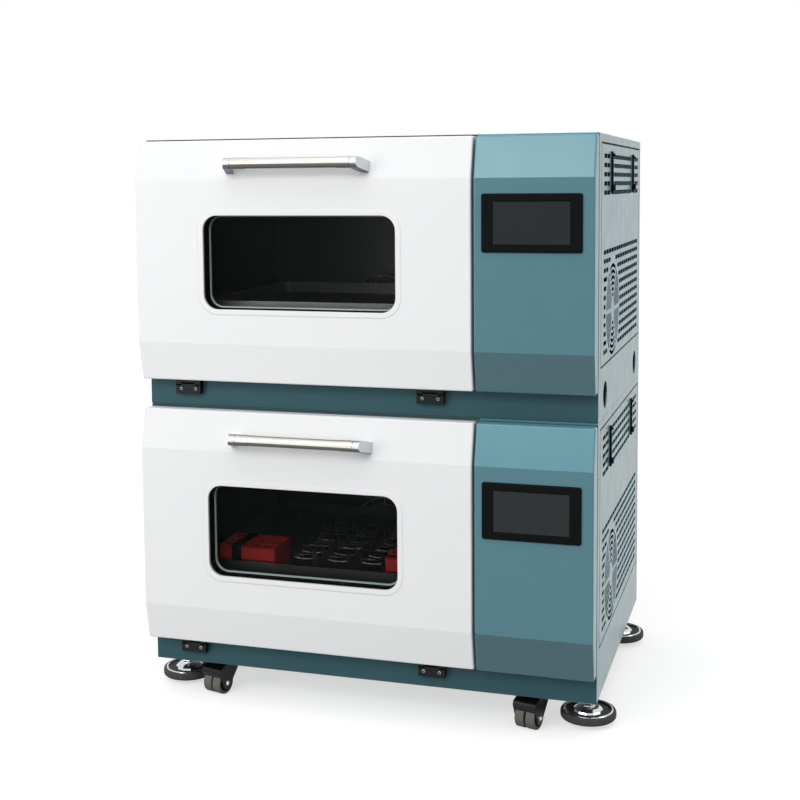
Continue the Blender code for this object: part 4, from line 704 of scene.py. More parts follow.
class ShakerHandles(bpy.types.Operator):
    """Builds the door handles: a bar in two cast brackets"""
    bl_idname = "shaker.handles"
    bl_label = "Handles"

    def execute(self, context):
        """A linished bar with stepped collars, and a flared bracket at each end."""
        thin = HANDLE_RADIUS - 0.0007
        end = HANDLE_HALF - BRACKET_FLARE - BRACKET_WIDTH - GAP
        half = [(0.0, end + 0.012), (0.008, end + 0.012), (0.008, end), (HANDLE_RADIUS - 0.0006, end),
                (HANDLE_RADIUS, end - 0.0006), (HANDLE_RADIUS, end - COLLAR + 0.0005),
                (HANDLE_RADIUS - 0.0003, end - COLLAR), (thin, end - COLLAR), (thin, end - COLLAR - 0.004)]
        bar = [(r, DOOR_MIDDLE - x) for r, x in half] + [(r, DOOR_MIDDLE + x) for r, x in reversed(half)]
        for unit in UNITS:
            unit_piece(unit, "handle_tube", turned(bar, "X", HANDLE_AXIS, 64), "nickel", "door",
                       ["handle_bar"])
            for side, outward in (("left", -1), ("right", 1)):
                unit_piece(unit, f"handle_bracket_{side}", bracket(outward), "casting", "door",
                           [f"handle_post_{side}"])
        return {"FINISHED"}


def bracket(outward):
    """A cast bracket: round in front of the bar, straight back to the upper facet, and flared outward."""
    y, z = HANDLE_AXIS
    foot = y + (-y - front_reach(z)) * math.cos(FACET_LEAN) - GAP
    inner = HANDLE_HALF - BRACKET_FLARE - BRACKET_WIDTH
    plan = [(HANDLE_HALF - BRACKET_FLARE, y - 2 * HANDLE_RADIUS), (HANDLE_HALF - BRACKET_FLARE, y - HANDLE_RADIUS),
            (HANDLE_HALF, foot), (HANDLE_HALF - BRACKET_FOOT, foot), (inner, y + HANDLE_RADIUS),
            (inner, y - 2 * HANDLE_RADIUS)]
    solid = prism([(DOOR_MIDDLE + outward * x, b) for x, b in plan], "Z", z - 0.03, z + 0.03)
    side = arc(HANDLE_RADIUS, math.pi / 2, 3 * math.pi / 2, 24, HANDLE_AXIS)
    side += [(foot + 0.05, z - HANDLE_RADIUS), (foot + 0.05, z + HANDLE_RADIUS)]
    solid = carve(solid, prism(side, "X", DOOR_MIDDLE - 0.3, DOOR_MIDDLE + 0.3), "INTERSECT")
    bmesh.ops.dissolve_limit(solid, angle_limit=0.01, verts=solid.verts, edges=solid.edges)
    centre = Vector((0.0, y, z))
    bmesh.ops.rotate(solid, cent=centre, matrix=Matrix.Rotation(-FACET_LEAN, 3, "X"), verts=solid.verts)
    return soften(solid, 0.0011, 40)


class ShakerHinges(bpy.types.Operator):
    """Builds the hinges' fixed halves with their screws"""
    bl_idname = "shaker.hinges"
    bl_label = "Hinges"

    def execute(self, context):
        """A block with two cheeks, a pin and two button-head screws at each hinge."""
        y, z = HINGE_AXIS
        front = y - 0.0045
        cheek = [(-GAP, z - 0.010), (front, z - 0.010), (front, z + 0.0035), (front + 0.0015, z + 0.005),
                 (-GAP, z + 0.005)]
        for unit in UNITS:
            for side, x in HINGE_X.items():
                low, high = x - HINGE_HALF, x + HINGE_HALF
                leaf = rounded_box((low, front, 0.027), (high, -GAP, z - 0.0058), 0.0008)
                cheeks = [soften(prism(cheek, "X", start, start + FIXED_KNUCKLE), 0.0005, 50, 2)
                          for start in (low, high - FIXED_KNUCKLE)]
                pin = turned([(0.0, low + 0.001), (PIN_RADIUS, low + 0.001), (PIN_RADIUS, high - 0.001),
                              (0.0, high - 0.001)], "X", HINGE_AXIS, 20)
                unit_piece(unit, f"hinge_block_{side}", together([leaf, *cheeks, pin]), "black_paint",
                           replaces=[f"hinge_{side}"])
                heads = [screw_head((x + step, 0.0385), front + 0.0012) for step in (-0.017, 0.017)]
                unit_piece(unit, f"hinge_screws_{side}", together(heads), "steel")
        return {"FINISHED"}


class ShakerFascias(bpy.types.Operator):
    """Builds the pressed control fascias and the trims round the cabinets' fronts"""
    bl_idname = "shaker.fascias"
    bl_label = "Fascias"

    def execute(self, context):
        """A three-facet front with the screen's cut-out and its dark seal, which stands as painted shade in the gaps
        round it, a plate of painted shade over the plinth, and a grey strip of painted shade along the top.
        """
        middle = ((FASCIA_LEFT + HALF_WIDTH) / 2, (PLINTH + FRONT_TOP) / 2)
        size = (HALF_WIDTH - FASCIA_LEFT - 0.0014, FRONT_TOP - PLINTH - 0.0014)
        cut_out = rectangle(SCREEN_SIZE[0] - 0.0154, SCREEN_SIZE[1] - 0.0154, SCREEN_MIDDLE)
        for unit in UNITS:
            # A black seal behind the fascia's edges, whose black stands as painted shade in the gaps round the fascia
            seal = plate(rectangle(*size, middle), [rectangle(size[0] - 0.02, size[1] - 0.02, middle)], "Y",
                         FASCIA_BACK - 0.001, -GAP)
            unit_piece(unit, "fascia_seal", seal, "rubber")
            # A plate over the plinth in darker teal: painted shade under the overhanging front
            skirt = box((0.0005 - HALF_WIDTH, -0.00035, 0.0015), (HALF_WIDTH - 0.0005, 0.001, PLINTH + 0.03))
            unit_piece(unit, "plinth_plate", skirt, "plinth_painted_shade")
            # A grey strip above the door, which stands as painted shade of the gap along the cabinet's top edge
            strip = box((0.002 - HALF_WIDTH, -0.0006, FRONT_TOP + 0.0004),
                        (FASCIA_LEFT, 0.001, CABINET_HEIGHT - 0.0006))
            unit_piece(unit, "top_strip", strip, "pad")
            skin = pressed_front(FASCIA_LEFT, HALF_WIDTH, FASCIA_BACK, context.scene.shaker_sizes)
            skin = carve(skin, prism(cut_out, "Y", THROUGH, -0.04))
            unit_piece(unit, "fascia_skin", skin, "teal", replaces=["control_fascia"], smooth=25)
        return {"FINISHED"}


class ShakerScreens(bpy.types.Operator):
    """Builds the touch screens"""
    bl_idname = "shaker.screens"
    bl_label = "Screens"

    def execute(self, context):
        """A moulded bezel with a flat border and a mitred slope down to the display."""
        face = -MIDDLE_REACH - SEAT
        outer = [(0.0, 0.0), (0.0, -0.0028), (-0.0006, -0.0041), (-0.0018, -0.0048), (-0.0030, -0.0050)]
        inner = [(0.0022, -0.0050), (0.0018, -0.0049), (0.0, -0.0030), (0.0, 0.0)]
        loops = [level(rounded_rectangle(width + 2 * grow, height + 2 * grow, corner, SCREEN_MIDDLE), "Y", face + y)
                 for (width, height), corner, steps in ((SCREEN_SIZE, 0.005, outer), (DISPLAY, 0.0009, inner))
                 for grow, y in steps]
        x, z = SCREEN_MIDDLE
        across, up = DISPLAY[0] / 2, DISPLAY[1] / 2
        for unit in UNITS:
            body = box((x - 0.0925, face + 0.0001, z - 0.050), (x + 0.0925, face + 0.034, z + 0.050))
            unit_piece(unit, "screen_frame", together([loft(loops, closed=True), body]), "bezel",
                       replaces=["screen_bezel"])
            display = rounded_box((x - across, face - 0.0032, z - up), (x + across, face - 0.0012, z + up),
                                  0.0003, 2)
            unit_piece(unit, "screen_display", display, "screen", replaces=["screen_glass"])
        return {"FINISHED"}


class ShakerPanels(bpy.types.Operator):
    """Builds the vented side panels with their fan frames"""
    bl_idname = "shaker.panels"
    bl_label = "Side panels"

    def execute(self, context):
        """A sheet with slots and a round grille, its dark seal, and the fan's frame behind it."""
        sizes = context.scene.shaker_sizes
        middle = ((PANEL_Y[0] + PANEL_Y[1]) / 2, (PANEL_Z[0] + PANEL_Z[1]) / 2)
        outline, rim, opening = [
            rounded_rectangle(PANEL_Y[1] - PANEL_Y[0] + grow, PANEL_Z[1] - PANEL_Z[0] + grow, 0.003, middle, 4)
            for grow in (-2 * PANEL_SEAM, 0.0028, -0.016)]
        holes = panel_slots(sizes) + grille_slots(sizes)
        holes += [circle(0.0054, (y, LOCK_Z), 24) for y in LOCK_Y.values()]
        for unit in UNITS:
            sheet = plate(outline, holes, "X", PANEL_FACE, HALF_WIDTH)
            unit_piece(unit, "panel_sheet", sheet, "teal", replaces=["side_panel"])
            seal = plate(rim, [opening], "X", PANEL_FACE - 0.0002, PANEL_FACE + 0.0005)
            unit_piece(unit, "panel_seal", seal, "rubber")
            unit_piece(unit, "fan_frame", fan_frame(), "black_paint")
        return {"FINISHED"}


def panel_slots(sizes):
    """Outlines of the panel's vent slots, left out round the grille and beside the locks."""
    start, end, margin = PANEL_Y[0] + 0.038, PANEL_Y[1] - 0.030, 0.026
    lower_rows, upper_rows = 12, 5
    clear, lock_room = sizes.grille_radius + 0.010, 0.017
    rows = []
    for row in range(lower_rows):
        z = PANEL_Z[0] + margin + row * sizes.vent_pitch
        off = max(0.0, abs(z - GRILLE[1]) - sizes.vent_height / 2)
        half = math.sqrt(clear ** 2 - off ** 2) if off < clear else 0.0
        rows.append((z, [(GRILLE[0] - half, GRILLE[0] + half)] if half else []))
    for row in range(upper_rows):
        rows.append((PANEL_Z[1] - margin - row * sizes.vent_pitch,
                     [(y - lock_room, y + lock_room) for y in LOCK_Y.values()]))
    slots = []
    for z, gaps in rows:
        edges = [start] + [y for gap in gaps for y in gap] + [end]
        for low, high in zip(edges[::2], edges[1::2]):
            count = round((high - low + sizes.vent_web) / (sizes.vent_slot + sizes.vent_web))
            if count < 1:
                continue
            step = (high - low + sizes.vent_web) / count
            slots += [fillet(rectangle(step - sizes.vent_web, sizes.vent_height,
                                       (low + step * (at + 0.5) - sizes.vent_web / 2, z)), 0.0012, 2)
                      for at in range(count)]
    return slots


def grille_slots(sizes):
    """Outlines of the round grille's arc slots: rings in six sectors between spokes."""
    pitch = (sizes.grille_radius - sizes.grille_hub) / sizes.grille_rings
    rib, spoke, sectors = pitch * 0.39, 0.009, 6
    slots = []
    for ring in range(sizes.grille_rings):
        inner = sizes.grille_hub + ring * pitch + rib / 2
        outer = inner + pitch - rib
        for sector in range(sectors):
            start = math.tau / sectors * sector
            end = start + math.tau / sectors
            near, far = spoke / 2 / inner, spoke / 2 / outer
            steps = 4 + ring * 2
            slots.append(arc(outer, start + far, end - far, steps, GRILLE)
                         + arc(inner, end - near, start + near, steps, GRILLE))
    return slots


def fan_frame():
    """The fan's shroud with four struts, its motor and its spindle."""
    inner, outer = 0.1000, 0.1030
    deep, shallow = PANEL_FACE - FAN_DEPTH, PANEL_FACE - 0.0005
    shroud = loft([level(circle(radius, GRILLE, 72), "X", x) for radius, x in
                   ((inner, deep), (outer, deep), (outer, shallow), (inner, shallow))], closed=True)
    reach, half = inner + 0.0012, 0.004
    struts = [rounded_box((deep, GRILLE[0] - a, GRILLE[1] - b), (deep + 0.004, GRILLE[0] + a, GRILLE[1] + b),
                          0.0006, 2) for a, b in ((reach, half), (half, reach))]
    tip = PANEL_FACE - 0.0062
    motor = turned(raised([(0.0, 0.0), (0.029, 0.0), (0.030, 0.001), (0.030, 0.005), (0.004, 0.005)], deep)
                   + [(0.004, tip), (0.0, tip)], "X", GRILLE, 40)
    return together([shroud, motor] + struts)


class ShakerFans(bpy.types.Operator):
    """Builds the cooling fans' rotors"""
    bl_idname = "shaker.fans"
    bl_label = "Fan rotors"

    def execute(self, context):
        """A hub with seven twisted blades on each fan's axis."""
        front, back = PANEL_FACE - 0.004, PANEL_FACE - FAN_DEPTH + 0.006
        hub = [(0.0045, back), (FAN_HUB, back), (FAN_HUB, front - 0.0025), (FAN_HUB - 0.0007, front - 0.0007),
               (FAN_HUB - 0.0025, front), (0.0, front), (0.0, front - 0.0018), (0.0045, front - 0.0018)]
        for unit in UNITS:
            blades = [fan_blade(number, (front + back) / 2) for number in range(FAN_BLADES)]
            unit_piece(unit, "fan_rotor", together([turned(hub, "X", GRILLE, 48)] + blades), "nylon",
                       "fan", ["cooling_fan_rotor"])
        return {"FINISHED"}


def fan_blade(number, middle):
    """One blade: thin airfoils at five radii, less steep and further round towards the tip."""
    root, tip, stations = FAN_HUB - 0.002, 0.0952, 5
    loops = []
    for station in range(stations):
        share = station / (stations - 1)
        radius = root + (tip - root) * share
        pitch = math.radians(40 - 16 * share)
        chord = 0.0112 / math.sin(pitch)
        loop = []
        for along_chord, thick in ((-0.5, 0.0), (-0.42, 0.45), (-0.2, 0.95), (0.1, 0.8), (0.5, 0.08), (0.1, -0.35),
                                   (-0.2, -0.3), (-0.42, -0.25)):
            a, t = along_chord * chord, thick * 0.0014
            axial = a * math.sin(pitch) + t * math.cos(pitch)
            turn = math.tau * number / FAN_BLADES + 0.3 * share
            turn += (a * math.cos(pitch) - t * math.sin(pitch)) / radius
            loop.append((middle + axial, GRILLE[0] + radius * math.cos(turn), GRILLE[1] + radius * math.sin(turn)))
        loops.append([Vector(point) for point in loop])
    return loft(loops)


class ShakerLocks(bpy.types.Operator):
    """Builds the quarter-turn panel locks"""
    bl_idname = "shaker.locks"
    bl_label = "Panel locks"

    def execute(self, context):
        """A slim lever with a thumb knob, a boss with a turned cap, and the spindle with its tongue."""
        face = HALF_WIDTH + SEAT
        tip = LOCK_Z + LOCK_REACH
        cap = raised([(0.0, 0.0), (0.0070, 0.0), (0.0070, 0.0072), (0.0063, 0.0082), (0.0052, 0.0086),
                      (0.0022, 0.0086), (0.0022, 0.0074), (0.0, 0.0074)], face)
        knob = raised([(0.0, 0.0030), (0.0030, 0.0030), (0.0030, 0.0066), (0.0022, 0.0076), (0.0, 0.0080)], face)
        spindle = raised([(0.0, -0.0058), (0.005, -0.0058), (0.005, 0.001), (0.0, 0.001)], face)
        for unit in UNITS:
            for side, y in LOCK_Y.items():
                outline = arc(0.0040, math.pi, math.tau, 12, (y, LOCK_Z - 0.009))
                outline += [(y + 0.0040, tip - 0.020)] + arc(0.0036, 0.0, math.pi, 10, (y, tip - 0.0036))
                outline += [(y - 0.0040, tip - 0.020)]
                lever = [soften(prism(outline, "X", face, face + 0.0042), 0.0008, 25),
                         turned(cap, "X", (y, LOCK_Z), 36), turned(knob, "X", (y, tip - 0.0075), 24),
                         turned(spindle, "X", (y, LOCK_Z), 24),
                         rounded_box((face - 0.0058, y - 0.006, LOCK_Z - 0.006),
                                     (face - 0.0033, y + 0.006, LOCK_Z + 0.026), 0.0006, 2)]
                unit_piece(unit, f"lock_lever_{side}", together(lever), "nylon", f"lock_{side}",
                           [f"panel_lock_{side}"])
        return {"FINISHED"}


class ShakerCastors(bpy.types.Operator):
    """Builds the twin-wheel castors"""
    bl_idname = "shaker.castors"
    bl_label = "Castors"

    def execute(self, context):
        """A hooded fork with its axle bolts, and two treads on their hubs."""
        axle = (-CASTOR_TRAIL, WHEEL_RADIUS)
        tread, side = WHEEL_RADIUS, WHEEL_PAIR
        # Sections of one wheel and of a bolt's head, as (radius, distance from the castor's middle)
        rubber = [(tread - 0.0055, 0.0020), (tread - 0.0016, 0.0020), (tread - 0.0004, 0.0028), (tread, 0.0040),
                  (tread, side - 0.0020), (tread - 0.0005, side - 0.0006), (tread - 0.0018, side),
                  (tread - 0.0055, side)]
        disc = [(0.0043, 0.0020), (tread - 0.0056, 0.0020), (tread - 0.0056, side - 0.0006),
                (tread - 0.0075, side - 0.0014), (0.0095, side - 0.0034), (0.0085, side), (0.0043, side)]
        spacer = [(0.0043, -0.0020), (0.0090, -0.0020), (0.0090, 0.0020), (0.0043, 0.0020)]
        bolt = raised([(0.0, 0.0), (0.0056, 0.0), (0.0056, 0.0006), (0.0044, 0.0008), (0.0044, 0.0018),
                       (0.0034, 0.0024), (0.0, 0.0026)], side + 0.0036)

        def round_axle(section, way=1, segments=48):
            """A ring turned about the axle, on one side of the castor's middle."""
            return loft([level(circle(radius, axle, segments), "X", way * x) for radius, x in section], closed=True)

        for corner in CORNERS:
            place = ground_place(corner, CASTOR_INSET)
            turn = Matrix.Translation(place) @ Matrix.Rotation(CASTOR_TURN, 4, "Z")
            name = f"castor_{corner}"
            bolts = [turned([(r, way * x) for r, x in bolt], "X", axle, 6) for way in (-1, 1)]
            treads = [round_axle(rubber, way) for way in (-1, 1)]
            hubs = [round_axle(disc, way) for way in (-1, 1)] + [round_axle(spacer, segments=24)]
            for piece, solid, finish, body, slot, nodes in (
                    ("hood", castor_fork(), "black_paint", name, "castor_black", [f"{name}_fork"]),
                    ("bolts", together(bolts), "chrome", name, "foot_steel", []),
                    ("treads", together(treads), "tread", f"{name}_wheels", "castor_tread", [f"{name}_wheels"]),
                    ("hubs", together(hubs), "nylon", f"{name}_wheels", "castor_black", [])):
                add_piece(f"{name}_{piece}", moved(solid, turn), finish, body, replaces=nodes)
        return {"FINISHED"}


def castor_fork():
    """A pressed fork in its own frame: hood, cheeks with round ends, turned rim, swivel race and stem."""
    top = FLOOR_CLEARANCE - 0.006
    inner = WHEEL_PAIR + 0.0006
    outer = inner + 0.003
    y, z = -CASTOR_TRAIL, WHEEL_RADIUS
    outline = arc(0.014, math.radians(200), math.radians(340), 18, (y, z))
    outline += [(0.024, top - 0.012), (0.024, top - 0.003), (0.021, top), (-0.016, top), (y - 0.0225, 0.0605),
                (y - 0.0250, 0.0545), (y - 0.0243, 0.0505)]
    body = prism(outline, "X", -outer, outer)
    room = turned([(0.0, -inner), (WHEEL_RADIUS + 0.002, -inner), (WHEEL_RADIUS + 0.002, inner), (0.0, inner)],
                  "X", (y, z), 64)
    body = carve(carve(body, room), box((-inner, y - 0.05, -0.01), (inner, y + 0.05, z)))
    bmesh.ops.dissolve_limit(body, angle_limit=0.01, verts=body.verts, edges=body.edges)
    rim = tube([(-outer + 0.001, y - 0.0240, 0.0512), (outer - 0.001, y - 0.0240, 0.0512)], 0.0016, 12)
    race = turned(raised([(0.0, -0.001), (0.024, -0.001), (0.024, 0.0018), (0.0225, 0.0024), (0.0225, 0.0034),
                          (0.0235, 0.0040), (0.0235, 0.0056), (0.0, 0.0056)], top), "Z", (0.0, 0.0), 48)
    stem = turned([(0.0, top), (0.006, top), (0.006, FLOOR_CLEARANCE + 0.028), (0.0, FLOOR_CLEARANCE + 0.028)],
                  "Z", (0.0, 0.0), 24)
    return together([soften(body, 0.0007, 40, 2), rim, race, stem])


class ShakerFeet(bpy.types.Operator):
    """Builds the levelling feet"""
    bl_idname = "shaker.feet"
    bl_label = "Levelling feet"

    def execute(self, context):
        """A rubber pad with a steel ring, a black dish, a bright dome with flats and a threaded stud."""
        pad, ring, dish, dome = [raised(profile, FOOT_RAISED) for profile in (
            [(0.0, 0.0), (0.0535, 0.0), (0.0565, 0.0010), (0.0585, 0.0034), (0.0590, 0.0060), (0.0590, 0.0118),
             (0.0584, 0.0146), (0.0570, 0.0168), (0.0550, 0.0178), (0.0530, 0.0172), (0.0518, 0.0150),
             (0.0, 0.0150)],
            [(0.0528, 0.0148), (0.0530, 0.0170), (0.0520, 0.0184), (0.0504, 0.0188), (0.0490, 0.0180),
             (0.0486, 0.0152)],
            [(0.0, 0.0100), (0.0490, 0.0100), (0.0490, 0.0164), (0.0470, 0.0166), (0.0420, 0.0136),
             (0.0330, 0.0122), (0.0, 0.0122)],
            [(0.0, 0.0106), (0.0330, 0.0106), (0.0330, 0.0132), (0.0306, 0.0186), (0.0240, 0.0236),
             (0.0170, 0.0256), (0.0, 0.0256)])]
        stud = thread(FOOT_RAISED + 0.0300, FLOOR_CLEARANCE + 0.060)
        for corner in CORNERS:
            name, place = f"foot_{corner}", ground_place(corner, FOOT_INSET)
            flats = prism(circle(0.0150, segments=6), "Z", FOOT_RAISED + 0.0248, FOOT_RAISED + 0.0320)
            rim = loft([level(circle(radius, segments=72), "Z", z) for radius, z in ring], closed=True)
            nut = together([soften(flats, 0.0008, 40, 2), turned(dome, segments=12)])
            for piece, solid, finish, slot, nodes, smooth in (
                    ("pad", turned(pad, segments=72), "pad", "castor_black", [name], 30.0),
                    ("ring", rim, "chrome", "foot_steel", [], 30.0),
                    ("dish", turned(dish, segments=72), "black_paint", "castor_black", [], 30.0),
                    ("dome", nut, "chrome", "foot_steel", [], 20.0),
                    ("stud", turned(stud, segments=32), "chrome", "foot_steel", [], 30.0)):
                add_piece(f"{name}_{piece}", solid, finish, name, place, nodes, smooth)
        return {"FINISHED"}


def thread(low, high):
    """The profile of a threaded stud, its grooves drawn at a pitch of 2 mm so that they show."""
    radius, root, pitch = 0.008, 0.0071, 0.002
    profile = [(0.0, low), (radius, low)]
    for turn in range(1, int((high - low) / pitch)):
        z = low + turn * pitch
        profile += [(radius, z - pitch * 0.3), (root, z), (radius, z + pitch * 0.3)]
    return profile + [(radius, high - 0.001), (radius - 0.001, high), (0.0, high)]


class ShakerRacks(bpy.types.Operator):
    """Builds the tube racks and the flask clamps on the lower tray"""
    bl_idname = "shaker.racks"
    bl_label = "Racks and clamps"

    def execute(self, context):
        """Two red racks near the tray's front corners, one strapped, and nine spring clamps between them."""
        wire = context.scene.shaker_sizes.wire
        left, right = TRAY_MIDDLE[0] - 0.283, TRAY_MIDDLE[0] + 0.283
        front, back = 0.040, 0.140
        racks = [tube_rack(low, high, front, back, 3, 4)
                 for low, high in ((left + 0.034, left + 0.170), (right - 0.140, right - 0.004))]
        thick, top = 0.0012, TRAY_TOP + 0.0570
        strap = [box((left + 0.068, y, low), (left + 0.090, end, top + thick))
                 for y, end, low in ((front - thick, front, TRAY_TOP + 0.001), (front - thick, back + thick, top),
                                     (back, back + thick, TRAY_TOP + 0.001))]
        places = [(x, y) for x in (-0.172, -0.092, -0.012) for y in (0.110, 0.215, 0.320)]
        # The clamps' arms take the chamber's darkened steel and their springs the darkened wire, both painted shade
        # of the dim chamber
        for name, solids, finish in (("tube_racks", racks, "red"), ("rack_strap", strap, "nylon"),
                                     ("flask_clamps", [clamp_arms(place) for place in places], "liner"),
                                     ("clamp_springs", [clamp_springs(place, wire) for place in places], "spring")):
            unit_piece("lower", name, together(solids), finish, "tray")
        for unit in UNITS:
            screws = [tray_screw((TRAY_MIDDLE[0] + a, TRAY_MIDDLE[1] + b)) for a in (-0.25, -0.08, 0.08, 0.25)
                      for b in (-0.24, 0.24)]
            unit_piece(unit, "tray_screws", together(screws), "chrome", "tray")
        return {"FINISHED"}


def tube_rack(left, right, front, back, rows, columns):
    """A moulded rack on the tray: a top and a middle deck with round holes inside four walls."""
    low, high, wall = TRAY_TOP + SEAT, TRAY_TOP + 0.057, 0.0025
    centre = ((left + right) / 2, (front + back) / 2)
    size = (right - left, back - front)
    holes = [circle(0.0138, (left + size[0] * (a + 0.5) / columns, front + size[1] * (b + 0.5) / rows), 20)
             for a in range(columns) for b in range(rows)]
    outline, inside = [rounded_rectangle(size[0] - 2 * inset, size[1] - 2 * inset, 0.005 - inset, centre, 3)
                       for inset in (0.0, wall)]
    decks = [plate(outline, holes, "Z", z, z + 0.003) for z in (high - 0.003, low + 0.024)]
    walls = loft([level(loop, "Z", z) for loop, z in ((outline, low), (outline, high - 0.001),
                                                      (inside, high - 0.001), (inside, low))], closed=True)
    return together(decks + [walls])


def bent_strip(path, width, thickness, place, angle):
    """A flat spring bent along a path of (distance from the centre, height), turned about a place."""
    loops = []
    for at, (r, z) in enumerate(path):
        before = Vector(path[max(at - 1, 0)])
        after = Vector(path[min(at + 1, len(path) - 1)])
        across = Vector((-(after - before).y, (after - before).x)).normalized() * thickness / 2
        loop = []
        for side, way in ((-1, -1), (1, -1), (1, 1), (-1, 1)):
            a, b = r + across.x * way, side * width / 2
            loop.append(Vector((place[0] + a * math.cos(angle) - b * math.sin(angle),
                                place[1] + a * math.sin(angle) + b * math.cos(angle), z + across.y * way)))
        loops.append(loop)
    return loft(loops)


def clamp_arms(place):
    """The sheet of a flask clamp: a base disc and four arms that rise and lean over the flask."""
    low = TRAY_TOP + GAP
    base = turned(raised([(0.0, 0.0), (0.031, 0.0), (0.031, 0.0014), (0.0, 0.0014)], low), "Z", place, 32)
    path = raised([(0.024, 0.0008), (0.033, 0.0010), (0.0372, 0.0040), (0.0385, 0.0120), (0.0380, 0.0260),
                   (0.0345, 0.0400), (0.0350, 0.0450), (0.0392, 0.0490)], low)
    return together([base] + [bent_strip(path, 0.011, 0.0010, place, math.pi / 4 + math.pi / 2 * arm)
                              for arm in range(4)])


def clamp_springs(place, wire):
    """The wire of a flask clamp: a ring round the arms and a spring drawn across between each pair."""
    z = TRAY_TOP + 0.0385
    ring = tube([(*point, z) for point in circle(0.0368, place, 40)], wire / 2, 8, closed=True)
    springs = []
    for arm in range(4):
        ends = [math.pi / 4 + math.pi / 2 * (arm + step) for step in (0, 1)]
        a, b = [Vector((place[0] + 0.0355 * math.cos(t), place[1] + 0.0355 * math.sin(t), z - 0.010)) for t in ends]
        drop = Vector((0.0, 0.0, -0.002))
        springs.append(tube([a, a.lerp(b, 0.25) + drop, a.lerp(b, 0.5) + drop * 1.4, a.lerp(b, 0.75) + drop, b],
                            wire * 0.6, 8))
    return together([ring] + springs)


def tray_screw(place):
    """A button-head screw in the tray's plate."""
    return turned(raised([(0.0, 0.0), (0.005, 0.0), (0.0046, 0.0014), (0.0032, 0.0024), (0.0024, 0.0026),
                          (0.0024, 0.0010), (0.0, 0.0010)], TRAY_TOP), "Z", place, 20)


class ShakerChambers(bpy.types.Operator):
    """Builds the wire guards at the chambers' back walls"""
    bl_idname = "shaker.chambers"
    bl_label = "Chambers"

    def execute(self, context):
        """A half-round guard of three hoops, seven spokes and two feet in each chamber."""
        wall = CHAMBER_DEPTH - 0.0006
        y = wall - 0.006
        middle, low = -0.143, CHAMBER_FLOOR + 0.0145
        hoops = [[(middle + a, y, low + b) for a, b in arc(radius, 0.0, math.pi, 28)]
                 for radius in (0.084, 0.068, 0.022)]
        angles = [math.pi * (number + 0.5) / 7 for number in range(7)]
        spokes = [[(middle + r * math.cos(angle), y, low + r * math.sin(angle)) for r in (0.022, 0.084)]
                  for angle in angles]
        feet = [[(middle + x, wall, CHAMBER_FLOOR + 0.030), (middle + x, y, CHAMBER_FLOOR + 0.030)]
                for x in (-0.0825, 0.0825)]
        for unit in UNITS:
            wires = [tube(path, 0.0016, 8) for path in hoops] + [tube(path, 0.0013, 8) for path in spokes + feet]
            unit_piece(unit, "duct_guard", together(wires), "guard")
        return {"FINISHED"}


class ShakerBacks(bpy.types.Operator):
    """Builds the filter mats, the mains inlets and the cover under the lower service bay"""
    bl_idname = "shaker.backs"
    bl_label = "Backs"

    def execute(self, context):
        """A foam mat behind the vents, a three-pin inlet in its opening and a cover on the base's opening."""
        x, z, rear = (0.2495 + HALF_WIDTH) / 2, 0.171, CABINET_DEPTH
        mouth = fillet(rectangle(0.0245, 0.0170, (x, z)), [0.0010, 0.0010, 0.0050, 0.0050], 3)
        for unit in UNITS:
            mat = rounded_box((x - 0.086, rear - 0.016, 0.208), (x + 0.086, rear - 0.0036, 0.384), 0.002)
            unit_piece(unit, "filter_mat", mat, "foam")
            shell = plate(rounded_rectangle(0.0472, 0.0262, 0.0036, (x, z), 4), [mouth], "Y", rear - 0.018,
                          rear - GAP)
            back = box((x - 0.022, rear - 0.020, z - 0.012), (x + 0.022, rear - 0.018, z + 0.012))
            unit_piece(unit, "mains_inlet", together([shell, back]), "bezel")
            pins = [rounded_box((x + a - 0.0010, rear - 0.019, z + b - 0.002),
                                (x + a + 0.0010, rear - 0.004, z + b + 0.002), 0.0004, 2)
                    for a, b in ((-0.007, -0.002), (0.0, 0.002), (0.007, -0.002))]
            unit_piece(unit, "inlet_pins", together(pins), "chrome")
        cover = rounded_box((0.2525, 0.160, 0.0032), (0.338, 0.540, 0.0044), 0.0004, 2)
        unit_piece("lower", "bay_cover", cover, "black_paint")
        return {"FINISHED"}


class ShakerStage(bpy.types.Operator):
    """Sets the floor, the studio light and the camera"""
    bl_idname = "shaker.stage"
    bl_label = "Stage"

    def execute(self, context):
        """A pale floor, soft lamps, a white surround and the photograph's view."""
        floor_mesh = bpy.data.meshes.new("studio_floor")
        reach = 30.0
        corners = [(-reach, -reach, 0), (reach, -reach, 0), (reach, reach, 0), (-reach, reach, 0)]
        floor_mesh.from_pydata(corners, [], [(0, 1, 2, 3)])
        floor = bpy.data.objects.new("studio_floor", floor_mesh)
        context.scene.collection.objects.link(floor)
        floor_mesh.materials.append(floor_finish())
        make_world(context.scene)
        for name, place, aim, width, height, energy in (
                ("key_softbox", (-0.9, -3.9, 2.9), (0.0, -0.3, 0.8), 3.0, 1.3, 64.0),
                ("ceiling_softbox", (0.2, -1.2, 4.2), (0.0, -0.2, 0.6), 3.6, 3.0, 24.0),
                ("front_softbox", (-2.7, -3.6, 1.2), (0.0, -0.3, 0.6), 1.3, 1.6, 34.0),
                ("side_softbox", (3.6, -0.6, 1.8), (0.4, 0.0, 0.7), 1.6, 2.2, 20.0)):
            lamp = bpy.data.lights.new(name, "AREA")
            lamp.shape = "RECTANGLE"
            lamp.size, lamp.size_y, lamp.energy = width, height, energy
            holder = bpy.data.objects.new(name, lamp)
            holder.location = place
            holder.rotation_mode = "QUATERNION"
            holder.rotation_quaternion = (Vector(aim) - Vector(place)).to_track_quat("-Z", "Y")
            context.scene.collection.objects.link(holder)
        make_camera(context.scene)
        context.scene.view_settings.view_transform = "Standard"
        return {"FINISHED"}


